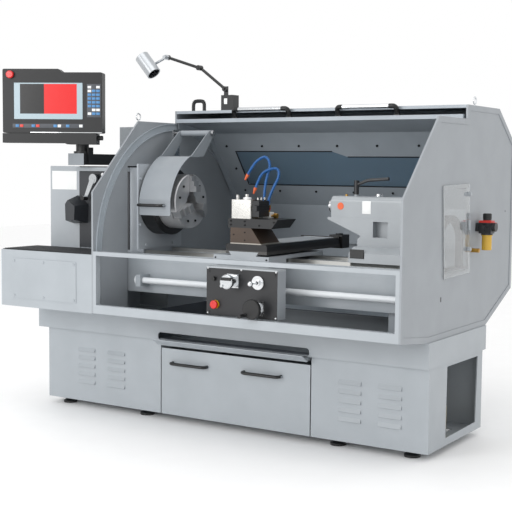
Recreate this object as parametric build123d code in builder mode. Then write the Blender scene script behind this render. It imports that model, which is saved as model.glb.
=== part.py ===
"""A computer controlled turning lathe with its guard open, at its real size in millimetres.

+X runs along the spindle to the tailstock, -Y faces the operator and Z is up. The origin is
under the middle of the machine, on the floor.
"""

import os
from math import cos, hypot, radians, sin, tan

from build123d import *

os.makedirs("parts", exist_ok=True)

ALONG = (1, 0, 0)
BACK_ALONG = (-1, 0, 0)
REARWARD = (0, 1, 0)
FORWARD = (0, -1, 0)
UP = (0, 0, 1)
DOWN = (0, 0, -1)

# Clearances and sheet
gap = 0.3
running_fit = 0.05
sheet = 3.0

# Enclosure
frame_width = 1700.0
right_x = 1120.0
left_x = right_x - frame_width
front_y = -630.0
panel_thick = 10.0
panel_rim = 27.0
panel_recess = 3.0
inner_left = left_x + panel_thick
inner_right = right_x - panel_thick
front_top_z = 1188.0
slope_y = front_y + 367.0
arch_top_z = 1553.0
roof_front_y = front_y + 700.0
roof_z = 1620.0
roof_back_y = front_y + 1122.0
rear_y = front_y + 1357.0
rear_top_z = 1452.0
rear_low_z = 701.0
sill_low_z = 870.0
sill_top_z = 890.0
rail_low_z = 578.0
rail_top_z = 621.0
frame_bar_depth = 32.0

# Pan and pedestals
pan_left_x = left_x - 632.0
pan_right_x = right_x + 6.0
pan_front_y = front_y + 288.0
pan_rear_y = front_y + 996.0
pan_low_z = 425.0
pan_top_z = 545.0
pan_floor = 8.0
pan_wall = 5.0
notch_left_x = left_x + 200.0
notch_right_x = right_x - 604.0
notch_top_z = 465.0
notch_radius = 16.0
foot_height = 35.0
pedestal_front_y = front_y + 315.0
pedestal_rear_y = pan_rear_y - 28.0
pedestal_wall = 6.0
left_pedestal = (left_x - 582.0, left_x + 197.0)
right_pedestal = (right_x - 605.0, right_x)
louvre_height = 20.0
louvre_pitch = 44.0
louvre_depth = 9.0
louvre_rows = 5
louvre_top_z = 321.0
louvre_width = 116.0
louvre_sheet = 1.6

# Drawers
drawer_gap = 6.0
runner_leg = 14.0
runner_thick = 3.0
tray_low_z = 399.0
tray_lip_reach = 53.0
tray_lip_top_z = 435.0
tray_rear_y = pan_rear_y - 120.0
tank_low_z = 35.0
tank_top_z = 380.0
tank_flange_z = 361.0
tank_rear_y = pan_rear_y - 60.0
tank_handle_span = 214.0
tank_handle_reach = 34.0
tank_handle_radius = 8.0
tank_handle_z = 308.0

# Bed
bed_left_x = left_x - 320.0
bed_right_x = inner_right - 30.0
ways_left_x = left_x + 110.0
bed_front_y = -350.0
bed_rear_y = -50.0
bed_low_z = 668.0
bed_top_z = 868.0
way_z = 885.0
way_front = (-345.0, -300.0)
way_rear = (-105.0, -60.0)
bed_wall = 88.0

# Headstock and spindle
spindle_y = -200.0
spindle_z = 1138.0
head_left_x = left_x - 340.0
head_right_x = left_x + 90.0
head_front_y = -325.0
head_rear_y = -8.0
head_top_z = 1310.0
end_plate_thick = 10.0
end_plate_y = (-380.0, -6.0)
end_plate_z = (bed_top_z + 22.0, 1330.0)
spindle_radius = 45.0
spindle_bore = 26.0
backplate_radius = 176.0
backplate_thick = 88.0
chuck_radius = 141.0
chuck_thick = 118.0
chuck_bore = 40.0
jaw_width = 40.0
jaw_stroke = 12.0
cover_left_x = left_x - 550.0
cover_low_z = pan_top_z
cover_top_z = 1315.0
panel_ledge_z = 1290.0

# Left side box and cabinet
box_left_x = left_x - 626.0
box_low_z = 575.0
box_top_z = 873.0
box_rear_y = bed_front_y - 2.0
cabinet_left_x = left_x - 342.0
cabinet_front_y = 10.0
cabinet_rear_y = 360.0
cabinet_top_z = 1535.0

# Sliding guard that turns over the work
hood_y = front_y + 680.0
hood_z = 890.0
hood_sheet = 2.5
hood_end_gap = 9.0
rail_size = 20.0
rail_radius = 685.0
rail_start = 3.0
hood_fold_1 = (337.0, 619.0)
hood_fold_2 = (645.0, 215.0)
hood_tail = (645.0, 0.0)
track_inner = 620.0
track_outer = 660.0
track_base = 2.0
track_lip = 4.0
track_reach = 8.0
roller_gap = 0.5
end_band_inner = 604.0
window_left_x = -436.0
window_right_x = 976.0
window_top = 127.0
window_step = 164.0
window_low = 363.0
pane_margin = 34.0
pane_thick = 4.0
hood_handle_radius = 11.0
hood_handle_y = -12.0
hood_handle_r = 730.0
handle_1 = (-191.0, 167.0)
handle_2 = (427.0, 774.0)

# Chuck guard
guard_left_x = -465.0
guard_right_x = -268.0
guard_sheet = 3.0
guard_pivot_y = -30.0
guard_pivot_z = 1495.0
pivot_radius = 8.0

# Saddle and slides
saddle_x = (80.0, 390.0)
saddle_front_y = -510.0
saddle_rear_y = 10.0
saddle_top_z = 902.0
dovetail_low = (180.0, 319.0)
dovetail_top = (167.0, 332.0)
dovetail_z = 921.0
cross_x = (151.0, 379.0)
cross_top_z = 957.0
cross_rear_y = 200.0
control_x = (96.0, 487.0)
control_z = (624.0, 852.0)
control_front_y = -590.0
control_depth = 74.0
wheel_z_at = (250.0, 791.0)
wheel_x_at = (387.0, 673.0)
stop_travel = 5.0
stop_stem = 12.0
stop_ring = 6.0
stop_radius = 8.0
joystick_at = (385.0, 790.0)
estop_at = (149.0, 674.0)
selector_at = (140.0, 795.0)
wheel_reach = 70.0
wheel_pin = 6.0
block_y = (-500.0, -330.0)
riser_x = (169.0, 342.0)
riser_top_x = 285.0
riser_top_z = 1033.0
plate_x = (157.0, 430.0)
plate_top_z = 1076.0
post_x = (165.0, 277.0)
post_y = (-490.0, -380.0)
post_top_z = 1165.0
manifold_x = (228.0, 309.0)
manifold_y = (-374.0, -334.0)
manifold_top_z = 1105.0
hose_1_x = 258.0
hose_2_x = 293.0
hose_1_y = -344.0
hose_2_y = -359.0
hose_radius = 7.0
fitting_top_z = 1148.0

# Tailstock
tail_x = (579.0, 960.0)
tail_base_x = (721.0, 1000.0)
tail_radius = 50.0
quill_radius = 30.0
quill_nose_x = 546.0
tail_wheel_radius = 75.0
tail_wheel_x = 1012.0

# Drive screw
screw_y = -400.0
screw_z = 735.0
screw_radius = 16.0
screw_block = (30.0, 60.0, 60.0)

# Control console and its arm
arm_x = (-910.0, -805.0)
arm_z = (1322.0, 1380.0)
arm_front_y = -430.0
console_centre = (-930.0, -530.0, 1652.0)
console_turn = 27.2
console_width = 529.0
console_height = 332.0
console_depth = 70.0
console_step = 18.0
neck_radius = 21.0

# Work light
lamp_base_at = (-239.0, 100.0)
lamp_shoulder = (-272.0, 100.0, 1735.0)
lamp_elbow = (-433.0, 100.0, 1852.0)
lamp_wrist = (-640.0, 100.0, 1916.0)
lamp_mouth = (-694.0, 100.0, 1826.0)
lamp_tail = (-778.0, 100.0, 1921.0)
lamp_tube = 8.0


def block(x, y, z, mode=Mode.ADD):
    """A box between three pairs of limits."""
    with Locations(((x[0] + x[1]) / 2, (y[0] + y[1]) / 2, (z[0] + z[1]) / 2)):
        Box(x[1] - x[0], y[1] - y[0], z[1] - z[0], mode=mode)


def rod(start, way, radius, length, mode=Mode.ADD):
    """A cylinder that starts at a point and runs one way."""
    with Locations(Plane(origin=start, z_dir=way)):
        Cylinder(radius, length, align=(Align.CENTER, Align.CENTER, Align.MIN), mode=mode)


def bow_handle(span, reach, radius):
    """A round bar bent into a bow that stands off the XZ plane toward -Y."""
    with BuildPart() as bow:
        with BuildLine() as path:
            FilletPolyline(
                (-span / 2, 0, 0),
                (-span / 2, -reach, 0),
                (span / 2, -reach, 0),
                (span / 2, 0, 0),
                radius=reach * 0.6,
            )
        with BuildSketch(Plane(origin=path.line @ 0, z_dir=path.line % 0)):
            Circle(radius)
        sweep()
    return bow.part


def side_outline():
    """The outline of a side panel, as Y and Z."""
    return [
        (front_y, rail_low_z),
        (front_y, front_top_z),
        (slope_y, arch_top_z),
        (roof_front_y, arch_top_z),
        (roof_front_y, roof_z),
        (roof_back_y, roof_z),
        (rear_y, rear_top_z),
        (rear_y, rear_low_z),
        (pan_rear_y, pan_top_z),
        (pan_front_y, pan_top_z),
    ]


# Levelling feet: a turned pad and screw under each corner of both pedestals
feet_x = [left_pedestal[0] + 100, left_pedestal[1] - 137, right_pedestal[0] + 115, right_pedestal[1] - 105]
feet_y = [pedestal_front_y + 65, pedestal_rear_y - 65]
with BuildPart() as levelling_feet:
    with BuildPart(mode=Mode.PRIVATE) as one_foot:
        with BuildSketch(Plane.XZ) as foot_half:
            with BuildLine():
                Polyline((0, 0), (38, 0), (38, 12), (24, 20), (12, 20), (12, foot_height), (0, foot_height), close=True)
            make_face()
        revolve(axis=Axis.Z)
    with Locations(*[(x, y, 0) for x in feet_x for y in feet_y]):
        add(one_foot.part)
levelling_feet.part.label = "levelling_feet"
export_step(levelling_feet.part, "parts/levelling_feet.step")


def pedestal(limits, louvre_columns, runner_x, runner_way, window=None):
    """A sheet metal pedestal, closed on top, with pressed louvres and drawer runners."""
    x0, x1 = limits
    wall = pedestal_wall
    with BuildPart() as body:
        block((x0, x1), (pedestal_front_y, pedestal_rear_y), (foot_height, pan_low_z))
        block(
            (x0 + wall, x1 - wall),
            (pedestal_front_y + wall, pedestal_rear_y - wall),
            (foot_height + wall, pan_low_z - wall),
            mode=Mode.SUBTRACT,
        )
        block((x0 + 90, x1 - 90), (pedestal_front_y + 140, pedestal_rear_y - 140),
              (foot_height, foot_height + wall), mode=Mode.SUBTRACT)
        for start in louvre_columns:
            with BuildSketch(Plane.YZ.offset(start)) as hoods:
                for row in range(louvre_rows):
                    z = louvre_top_z - row * louvre_pitch
                    with BuildLine():
                        Polyline(
                            (pedestal_front_y, z + louvre_height / 2),
                            (pedestal_front_y - louvre_depth, z - louvre_height / 2),
                            (pedestal_front_y, z - louvre_height / 2),
                            close=True,
                        )
                    make_face()
            extrude(amount=louvre_width)
        for start in louvre_columns:
            with BuildSketch(Plane.YZ.offset(start + louvre_sheet)) as slots:
                for row in range(louvre_rows):
                    z = louvre_top_z - row * louvre_pitch
                    with BuildLine():
                        Polyline(
                            (pedestal_front_y + wall, z + louvre_height / 2 - 2 * louvre_sheet),
                            (pedestal_front_y, z + louvre_height / 2 - 2 * louvre_sheet),
                            (pedestal_front_y - louvre_depth + louvre_sheet, z - louvre_height / 2),
                            (pedestal_front_y + wall, z - louvre_height / 2),
                            close=True,
                        )
                    make_face()
            extrude(amount=louvre_width - 2 * louvre_sheet, mode=Mode.SUBTRACT)
        for top in (tray_low_z + 17, tank_flange_z - gap):
            far = runner_x + runner_way * runner_leg
            block(sorted((runner_x, far)), (pedestal_front_y + 12, tank_rear_y), (top - runner_thick, top))
        if window:
            with BuildSketch(Plane.YZ.offset(x1)):
                with BuildLine():
                    Polyline(*window, close=True)
                make_face()
            extrude(amount=-wall, mode=Mode.SUBTRACT)
    return body.part


# Pedestals: the right one has a window in its outer side for the lubricator
left_louvres = (left_x - 363, left_x - 157)
right_louvres = (right_x - 455, right_x - 249)
lube_window = [
    (front_y + 515, 71),
    (front_y + 520, 407),
    (front_y + 905, 403),
    (front_y + 892, 75),
]
with BuildPart() as pedestal_left:
    add(pedestal(left_pedestal, left_louvres, left_pedestal[1], 1))
pedestal_left.part.label = "pedestal_left"
export_step(pedestal_left.part, "parts/pedestal_left.step")

with BuildPart() as pedestal_right:
    add(pedestal(right_pedestal, right_louvres, right_pedestal[0], -1, lube_window))
pedestal_right.part.label = "pedestal_right"
export_step(pedestal_right.part, "parts/pedestal_right.step")

# Lubricator inside the right pedestal: reservoir, pump head, gauge and filler cap
lube_x = right_x - 150.0
lube_y = front_y + 700.0
with BuildPart() as lube_unit:
    block((lube_x - 60, lube_x + 60), (lube_y - 110, lube_y + 40), (foot_height + pedestal_wall, 215))
    block((lube_x - 45, lube_x + 45), (lube_y - 95, lube_y - 5), (215, 275))
    rod((lube_x + 20, lube_y + 15, 215), UP, 20, 30)
    rod((lube_x, lube_y - 50, 275), UP, 9, 35)
    rod((lube_x - 15, lube_y - 50, 330), ALONG, 30, 30)
lube_unit.part.label = "lube_unit"
export_step(lube_unit.part, "parts/lube_unit.step")

# Chip pan: a welded tray with a deck under the headstock and a notch for the chip tray
deck_right_x = left_x + 20
chute_y = (pan_front_y + 60, pan_rear_y - 130)
with BuildPart() as chip_pan:
    block((pan_left_x, pan_right_x), (pan_front_y, pan_rear_y), (pan_low_z, pan_top_z))
    block((deck_right_x, pan_right_x - pan_wall), (pan_front_y + pan_wall, pan_rear_y - pan_wall),
          (pan_low_z + pan_floor, pan_top_z - sheet), mode=Mode.SUBTRACT)
    block((deck_right_x, inner_right - 20), (pan_front_y + 30, pan_rear_y - 30),
          (pan_top_z - sheet, pan_top_z), mode=Mode.SUBTRACT)
    block((pan_left_x + pan_wall, deck_right_x - pan_wall), (pan_front_y + pan_wall, pan_rear_y - pan_wall),
          (pan_low_z + pan_floor, pan_top_z - pan_wall), mode=Mode.SUBTRACT)
    with BuildSketch(Plane.XZ.offset(-pan_front_y)):
        with BuildLine():
            Polyline(
                (notch_left_x, pan_low_z),
                (notch_left_x, notch_top_z),
                (notch_right_x, notch_top_z),
                (notch_right_x, pan_low_z),
                close=True,
            )
        notch = make_face()
        fillet(notch.vertices().group_by(Axis.Z)[-1], notch_radius)
    extrude(amount=-(pan_wall + 3), mode=Mode.SUBTRACT)
    block((notch_left_x + 20, notch_right_x - 20), chute_y, (pan_low_z, pan_low_z + pan_floor), mode=Mode.SUBTRACT)
chip_pan.part.label = "chip_pan"
export_step(chip_pan.part, "parts/chip_pan.step")

# Chip tray: a folded sheet drawer with a flared lip that hangs on two runners
drawer_x = (left_pedestal[1] + drawer_gap, right_pedestal[0] - drawer_gap)
tray_x = (left_pedestal[1] + runner_leg + 4, right_pedestal[0] - runner_leg - 4)
tray_top_z = tray_low_z + 17 + gap + sheet
with BuildPart() as chip_tray:
    block(tray_x, (pan_front_y - 2, tray_rear_y), (tray_low_z, tray_top_z))
    block((tray_x[0] + sheet, tray_x[1] - sheet), (pan_front_y + sheet, tray_rear_y - sheet),
          (tray_low_z + sheet, tray_top_z), mode=Mode.SUBTRACT)
    for inner, outer in ((tray_x[0], drawer_x[0]), (tray_x[1], drawer_x[1])):
        block(sorted((inner, outer)), (pedestal_front_y + 2, tray_rear_y), (tray_top_z - sheet, tray_top_z))
    with BuildSketch(Plane.YZ.offset(drawer_x[0])):
        with BuildLine():
            Polyline(
                (pan_front_y - 2, tray_low_z),
                (pan_front_y - tray_lip_reach, tray_lip_top_z - 4),
                (pan_front_y - tray_lip_reach, tray_lip_top_z),
                (pan_front_y - tray_lip_reach + sheet, tray_lip_top_z),
                (pan_front_y - 2 + sheet, tray_low_z + sheet),
                close=True,
            )
        make_face()
    extrude(amount=drawer_x[1] - drawer_x[0])
chip_tray.part.label = "chip_tray"
export_step(chip_tray.part, "parts/chip_tray.step")

# Coolant tank: an open tank behind a drawer front, hung by its rim, with two bow handles
tank_handles_x = (left_x + 384.5, right_x - 878.5)
with BuildPart() as coolant_tank:
    block(drawer_x, (pedestal_front_y, pedestal_front_y + sheet), (tank_low_z, tank_top_z))
    block(tray_x, (pedestal_front_y + sheet, tank_rear_y), (tank_low_z + 25, tank_flange_z + sheet))
    block((tray_x[0] + sheet, tray_x[1] - sheet), (pedestal_front_y + 3 * sheet, tank_rear_y - sheet),
          (tank_low_z + 25 + sheet, tank_flange_z + sheet), mode=Mode.SUBTRACT)
    for inner, outer in ((tray_x[0], drawer_x[0]), (tray_x[1], drawer_x[1])):
        block(sorted((inner, outer)), (pedestal_front_y + 12, tank_rear_y), (tank_flange_z, tank_flange_z + sheet))
    for x in tank_handles_x:
        with Locations((x, pedestal_front_y, tank_handle_z)):
            add(bow_handle(tank_handle_span, tank_handle_reach, tank_handle_radius))
coolant_tank.part.label = "coolant_tank"
export_step(coolant_tank.part, "parts/coolant_tank.step")

# Bed: a casting with two feet, cross ribs, an inverted V way in front and a flat way behind
with BuildPart() as bed:
    block((bed_left_x, bed_right_x), (bed_front_y, bed_rear_y), (bed_low_z, bed_top_z))
    pockets = 6
    pocket_pitch = (bed_right_x - ways_left_x - 100) / pockets
    for n in range(pockets):
        x = ways_left_x + 60 + n * pocket_pitch
        block((x, x + pocket_pitch - 26), (bed_front_y + bed_wall, bed_rear_y - bed_wall),
              (bed_low_z, bed_top_z), mode=Mode.SUBTRACT)
    with BuildSketch(Plane.YZ.offset(ways_left_x)):
        with BuildLine():
            Polyline(
                (way_front[0], bed_top_z),
                (way_front[0] + 16, way_z),
                (way_front[1] - 16, way_z),
                (way_front[1], bed_top_z),
                close=True,
            )
        make_face()
        with BuildLine():
            Polyline(
                (way_rear[0], bed_top_z),
                (way_rear[0], way_z),
                (way_rear[1], way_z),
                (way_rear[1], bed_top_z),
                close=True,
            )
        make_face()
    extrude(amount=bed_right_x - ways_left_x)
    foot_y = (pan_front_y + 34, bed_rear_y - 10)
    block((bed_left_x, bed_left_x + 180), foot_y, (pan_top_z, bed_low_z))
    block((bed_right_x - 170, bed_right_x), foot_y, (pan_low_z + pan_floor, bed_low_z))
    for x in (ways_left_x + 12, bed_right_x - screw_block[0] - 12):
        block((x, x + screw_block[0]), (screw_y - 30, bed_front_y), (screw_z - 30, screw_z + 30))
        rod((x - 1, screw_y, screw_z), ALONG, screw_radius + running_fit, screw_block[0] + 2, mode=Mode.SUBTRACT)
bed.part.label = "bed"
export_step(bed.part, "parts/bed.step")

# Drive screw: it turns in two blocks on the front of the bed
screw_from = ways_left_x + 12
screw_to = bed_right_x - 12
with BuildPart() as drive_screw:
    rod((screw_from - 14, screw_y, screw_z), ALONG, screw_radius, screw_to - screw_from + 14)
    rod((screw_from - 14, screw_y, screw_z), ALONG, screw_radius + 8, 13.7)
drive_screw.part.label = "drive_screw"
export_step(drive_screw.part, "parts/drive_screw.step")

# Side panels: sheet sides with a raised rim
head_opening = ((end_plate_y[0] + 12, end_plate_y[1] - 1), (pan_top_z, end_plate_z[1] - 12))
side_window = [
    (front_y + 415, 1247),
    (front_y + 739, 1254),
    (front_y + 768, 822),
    (front_y + 444, 814),
]
with BuildPart() as side_panel_left:
    with BuildSketch(Plane.YZ.offset(left_x)):
        with BuildLine():
            Polyline(*side_outline(), close=True)
        make_face()
    extrude(amount=panel_thick)
    with BuildSketch(Plane.YZ.offset(left_x)):
        with BuildLine():
            Polyline(*side_outline(), close=True)
        make_face()
        offset(amount=-panel_rim, kind=Kind.INTERSECTION, mode=Mode.REPLACE)
    extrude(amount=panel_recess, mode=Mode.SUBTRACT)
    block((left_x, inner_left), (bed_front_y - 6, end_plate_y[1] - 1), (pan_top_z, end_plate_z[1] - 12), mode=Mode.SUBTRACT)
side_panel_left.part.label = "side_panel_left"
export_step(side_panel_left.part, "parts/side_panel_left.step")

with BuildPart() as side_panel_right:
    with BuildSketch(Plane.YZ.offset(inner_right)):
        with BuildLine():
            Polyline(*side_outline(), close=True)
        make_face()
    extrude(amount=panel_thick)
    with BuildSketch(Plane.YZ.offset(right_x)):
        with BuildLine():
            Polyline(*side_outline(), close=True)
        make_face()
        offset(amount=-panel_rim, kind=Kind.INTERSECTION, mode=Mode.REPLACE)
    extrude(amount=-panel_recess, mode=Mode.SUBTRACT)
    with BuildSketch(Plane.YZ.offset(right_x)):
        with BuildLine():
            Polyline(*side_window, close=True)
        make_face()
        offset(amount=-22, kind=Kind.INTERSECTION, mode=Mode.REPLACE)
    extrude(amount=-panel_thick, mode=Mode.SUBTRACT)
side_panel_right.part.label = "side_panel_right"
export_step(side_panel_right.part, "parts/side_panel_right.step")

# Side door: a rimmed window hinged at its rear edge, with two knobs and a latch
door_x = (right_x - panel_recess, right_x + 5)
hinge_radius = 5.0
hinge_low = Vector(door_x[1], *side_window[2])
hinge_way = (Vector(door_x[1], *side_window[1]) - hinge_low).normalized()
knuckles = (30.0, 186.0, 342.0)
knuckle_length = 60.0
with BuildPart() as side_door:
    with BuildSketch(Plane.YZ.offset(door_x[0] + gap)):
        with BuildLine():
            Polyline(*side_window, close=True)
        make_face()
        offset(amount=-4, kind=Kind.INTERSECTION, mode=Mode.REPLACE)
    extrude(amount=door_x[1] - door_x[0] - gap)
    with BuildSketch(Plane.YZ.offset(door_x[1])):
        with BuildLine():
            Polyline(*side_window, close=True)
        make_face()
        offset(amount=-26, kind=Kind.INTERSECTION, mode=Mode.REPLACE)
    extrude(amount=-3, mode=Mode.SUBTRACT)
    for y, z in ((front_y + 717, 1201), (front_y + 728, 941)):
        rod((door_x[1], y, z), ALONG, 11, 16)
    block((door_x[1], door_x[1] + 8), (front_y + 722, front_y + 740), (1030, 1078))
    for start in knuckles:
        foot = hinge_low + hinge_way * start
        rod(tuple(foot), tuple(hinge_way), hinge_radius, knuckle_length)
side_door.part.label = "side_door"
export_step(side_door.part, "parts/side_door.step")

# Front frame: sill, lower rail, end posts and the skirt that slopes back to the pan
with BuildPart() as front_frame:
    block((inner_left, inner_right), (front_y, front_y + frame_bar_depth), (sill_low_z, sill_top_z))
    block((inner_left, inner_right), (front_y, front_y + frame_bar_depth), (rail_low_z, rail_top_z))
    for x in ((inner_left, inner_left + 18), (inner_right - 18, inner_right)):
        block(x, (front_y, front_y + frame_bar_depth), (rail_low_z, sill_top_z))
    with BuildSketch(Plane.YZ.offset(inner_left)):
        with BuildLine():
            Polyline(
                (front_y, rail_low_z),
                (pan_front_y, pan_top_z),
                (pan_front_y + 28, pan_top_z),
                (pan_front_y + 28, pan_top_z + sheet),
                (pan_front_y, pan_top_z + sheet),
                (front_y + sheet, rail_low_z + sheet),
                close=True,
            )
        make_face()
    extrude(amount=inner_right - inner_left)
front_frame.part.label = "front_frame"
export_step(front_frame.part, "parts/front_frame.step")

# Rear cover: roof with its front rail, slope, back and the lower slope to the pan
with BuildPart() as rear_cover:
    with BuildSketch(Plane.YZ.offset(inner_left)):
        with BuildLine():
            Polyline(
                (roof_front_y, roof_z - 15),
                (roof_front_y, roof_z),
                (roof_back_y, roof_z),
                (rear_y, rear_top_z),
                (rear_y, rear_low_z),
                (pan_rear_y, pan_top_z),
                (pan_rear_y - 28, pan_top_z),
                (pan_rear_y - 28, pan_top_z + sheet),
                (pan_rear_y - sheet, pan_top_z + sheet),
                (rear_y - sheet, rear_low_z + sheet),
                (rear_y - sheet, rear_top_z - sheet),
                (roof_back_y - sheet, roof_z - sheet),
                (roof_front_y + 45, roof_z - sheet),
                (roof_front_y + 45, roof_z - 15),
                close=True,
            )
        make_face()
    extrude(amount=inner_right - inner_left)
rear_cover.part.label = "rear_cover"
export_step(rear_cover.part, "parts/rear_cover.step")

# Guard tracks: an arched channel on the inside of each side panel
with BuildPart() as hood_tracks:
    for wall_x, way in ((inner_left, 1), (inner_right, -1)):
        with BuildSketch(Plane(origin=(wall_x, hood_y, hood_z), x_dir=(0, 1, 0), z_dir=(way, 0, 0))) as base:
            Circle(track_outer)
            Circle(track_inner, mode=Mode.SUBTRACT)
            with Locations((0, -way * track_outer)):
                Rectangle(2 * track_outer, 2 * track_outer, mode=Mode.SUBTRACT)
        extrude(amount=track_base)
        with BuildSketch(Plane(origin=(wall_x, hood_y, hood_z), x_dir=(0, 1, 0), z_dir=(way, 0, 0))) as lips:
            Circle(track_outer)
            Circle(track_outer - track_lip, mode=Mode.SUBTRACT)
            Circle(track_inner + track_lip)
            Circle(track_inner, mode=Mode.SUBTRACT)
            with Locations((0, -way * track_outer)):
                Rectangle(2 * track_outer, 2 * track_outer, mode=Mode.SUBTRACT)
        extrude(amount=track_reach)
hood_tracks.part.label = "hood_tracks"
export_step(hood_tracks.part, "parts/hood_tracks.step")

# Guard shell: folded sheet with end bands, rollers in the tracks and a square leading rail
hood_x = (inner_left + hood_end_gap, inner_right - hood_end_gap)
hood_outer = [
    (rail_start + rail_size - 1, rail_radius - rail_size / 2),
    hood_fold_1,
    hood_fold_2,
    hood_tail,
]
facet_distance = abs(
    hood_fold_1[0] * (hood_fold_2[1] - hood_fold_1[1]) - hood_fold_1[1] * (hood_fold_2[0] - hood_fold_1[0])
) / hypot(hood_fold_2[0] - hood_fold_1[0], hood_fold_2[1] - hood_fold_1[1])
sheet_scale = 1 - hood_sheet / facet_distance
facet_vector = Vector(0, hood_fold_2[0] - hood_fold_1[0], hood_fold_2[1] - hood_fold_1[1]).normalized()
facet_origin = (0, hood_y + hood_fold_1[0], hood_z + hood_fold_1[1])
facet_plane = Plane(origin=facet_origin, x_dir=(1, 0, 0), z_dir=Vector(1, 0, 0).cross(facet_vector) * -1)
facet_out = -1 if facet_plane.z_dir.Z < 0 else 1


def around_hood(points, scale=1.0):
    """Points given from the guard's axis, as Y and Z of the machine."""
    return [(hood_y + y * scale, hood_z + z * scale) for y, z in points]


roller_angles = (14, 46, 80)
roller_radius = (track_outer - track_inner) / 2 - track_lip - roller_gap
track_middle = (track_inner + track_outer) / 2
with BuildPart() as hood_shell:
    with BuildSketch(Plane.YZ.offset(hood_x[0])):
        with BuildLine():
            Polyline(*around_hood(hood_outer), *reversed(around_hood(hood_outer, sheet_scale)), close=True)
        make_face()
    extrude(amount=hood_x[1] - hood_x[0])
    block(hood_x, (hood_y + rail_start, hood_y + rail_start + rail_size),
          (hood_z + rail_radius - rail_size, hood_z + rail_radius))
    for x, way in ((hood_x[0], 1), (hood_x[1], -1)):
        with BuildSketch(Plane.YZ.offset(x)):
            with BuildLine():
                Polyline(*around_hood(hood_outer, (1 + sheet_scale) / 2),
                         *reversed(around_hood(hood_outer, end_band_inner / facet_distance)), close=True)
            make_face()
        extrude(amount=way * sheet)
        for angle in roller_angles:
            y = hood_y + track_middle * cos(radians(angle))
            z = hood_z + track_middle * sin(radians(angle))
            rod((x, y, z), (-way, 0, 0), roller_radius, hood_end_gap - track_base - roller_gap)
    with BuildSketch(facet_plane):
        with BuildLine():
            side = -1 if facet_plane.y_dir.dot(facet_vector) < 0 else 1
            Polyline(
                (window_left_x, side * window_top),
                (188, side * window_top),
                (276, side * window_step),
                (window_right_x, side * window_step),
                (window_right_x, side * window_low),
                (window_left_x, side * window_low),
                close=True,
            )
        opening = make_face()
        fillet(opening.vertices(), 14)
    extrude(amount=10, both=True, mode=Mode.SUBTRACT)
hood_shell.part.label = "hood_shell"
export_step(hood_shell.part, "parts/hood_shell.step")

# Guard window: a clear pane on the outside of the shell, held by screws round its edge
screw_s = (window_top - 40, window_low + 44)
screw_columns = 8
with BuildPart() as hood_window:
    with BuildSketch(facet_plane):
        with BuildLine():
            Polyline(
                (window_left_x - 50, side * (screw_s[0] - 14)),
                (window_right_x + 50, side * (screw_s[0] - 14)),
                (window_right_x + 50, side * (screw_s[1] + 14)),
                (window_left_x - 50, side * (screw_s[1] + 14)),
                close=True,
            )
        make_face()
    extrude(amount=facet_out * pane_thick)
hood_window.part.label = "hood_window"
export_step(hood_window.part, "parts/hood_window.step")

# Guard handles: two chrome tubes in curved end brackets on top of the leading rail
with BuildPart() as hood_handles:
    for left, right in (handle_1, handle_2):
        y = hood_y + hood_handle_y
        z = hood_z + hood_handle_r
        rod((left + 40, y, z), ALONG, hood_handle_radius, right - left - 80)
        for end, way in ((left, 1), (right, -1)):
            with BuildLine() as elbow:
                FilletPolyline(
                    (end + way * 12, hood_y + rail_start + rail_size / 2, hood_z + rail_radius + 7),
                    (end + way * 12, y + 3, z),
                    (end + way * 44, y, z),
                    radius=18,
                )
            with BuildSketch(Plane(origin=elbow.line @ 0, z_dir=elbow.line % 0)):
                Circle(hood_handle_radius + 1)
            sweep(path=elbow.line)
            block(sorted((end, end + way * 26)), (hood_y + rail_start, hood_y + rail_start + rail_size),
                  (hood_z + rail_radius, hood_z + rail_radius + 7))
hood_handles.part.label = "hood_handles"
export_step(hood_handles.part, "parts/hood_handles.step")

# Headstock casting: the gearbox body, its end plate towards the chuck and the spindle's bearing bore
with BuildPart() as headstock_casting:
    block((head_left_x, head_right_x), (head_front_y, head_rear_y), (bed_top_z, head_top_z))
    block((head_right_x, head_right_x + end_plate_thick), end_plate_y, end_plate_z)
    rod((head_left_x - 1, spindle_y, spindle_z), ALONG, spindle_radius + running_fit,
        head_right_x + end_plate_thick - head_left_x + 2, mode=Mode.SUBTRACT)
    for y, z in ((-315, 911), (-84, 911), (-362, 1255), (-362, 1018), (-33, 1303)):
        rod((head_right_x + end_plate_thick, y, z), ALONG, 8, 6)
headstock_casting.part.label = "headstock_casting"
export_step(headstock_casting.part, "parts/headstock_casting.step")

# Headstock end cover: a hollow sheet cover over the belt end
with BuildPart() as headstock_end_cover:
    block((cover_left_x, head_left_x), (head_front_y - 5, -20), (cover_low_z, cover_top_z))
    block((cover_left_x + sheet, head_left_x), (head_front_y - 5 + sheet, -20 - sheet),
          (cover_low_z, cover_top_z - sheet), mode=Mode.SUBTRACT)
    rod((cover_left_x - 1, spindle_y, spindle_z), ALONG, 60, sheet + 2, mode=Mode.SUBTRACT)
headstock_end_cover.part.label = "headstock_end_cover"
export_step(headstock_end_cover.part, "parts/headstock_end_cover.step")

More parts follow.
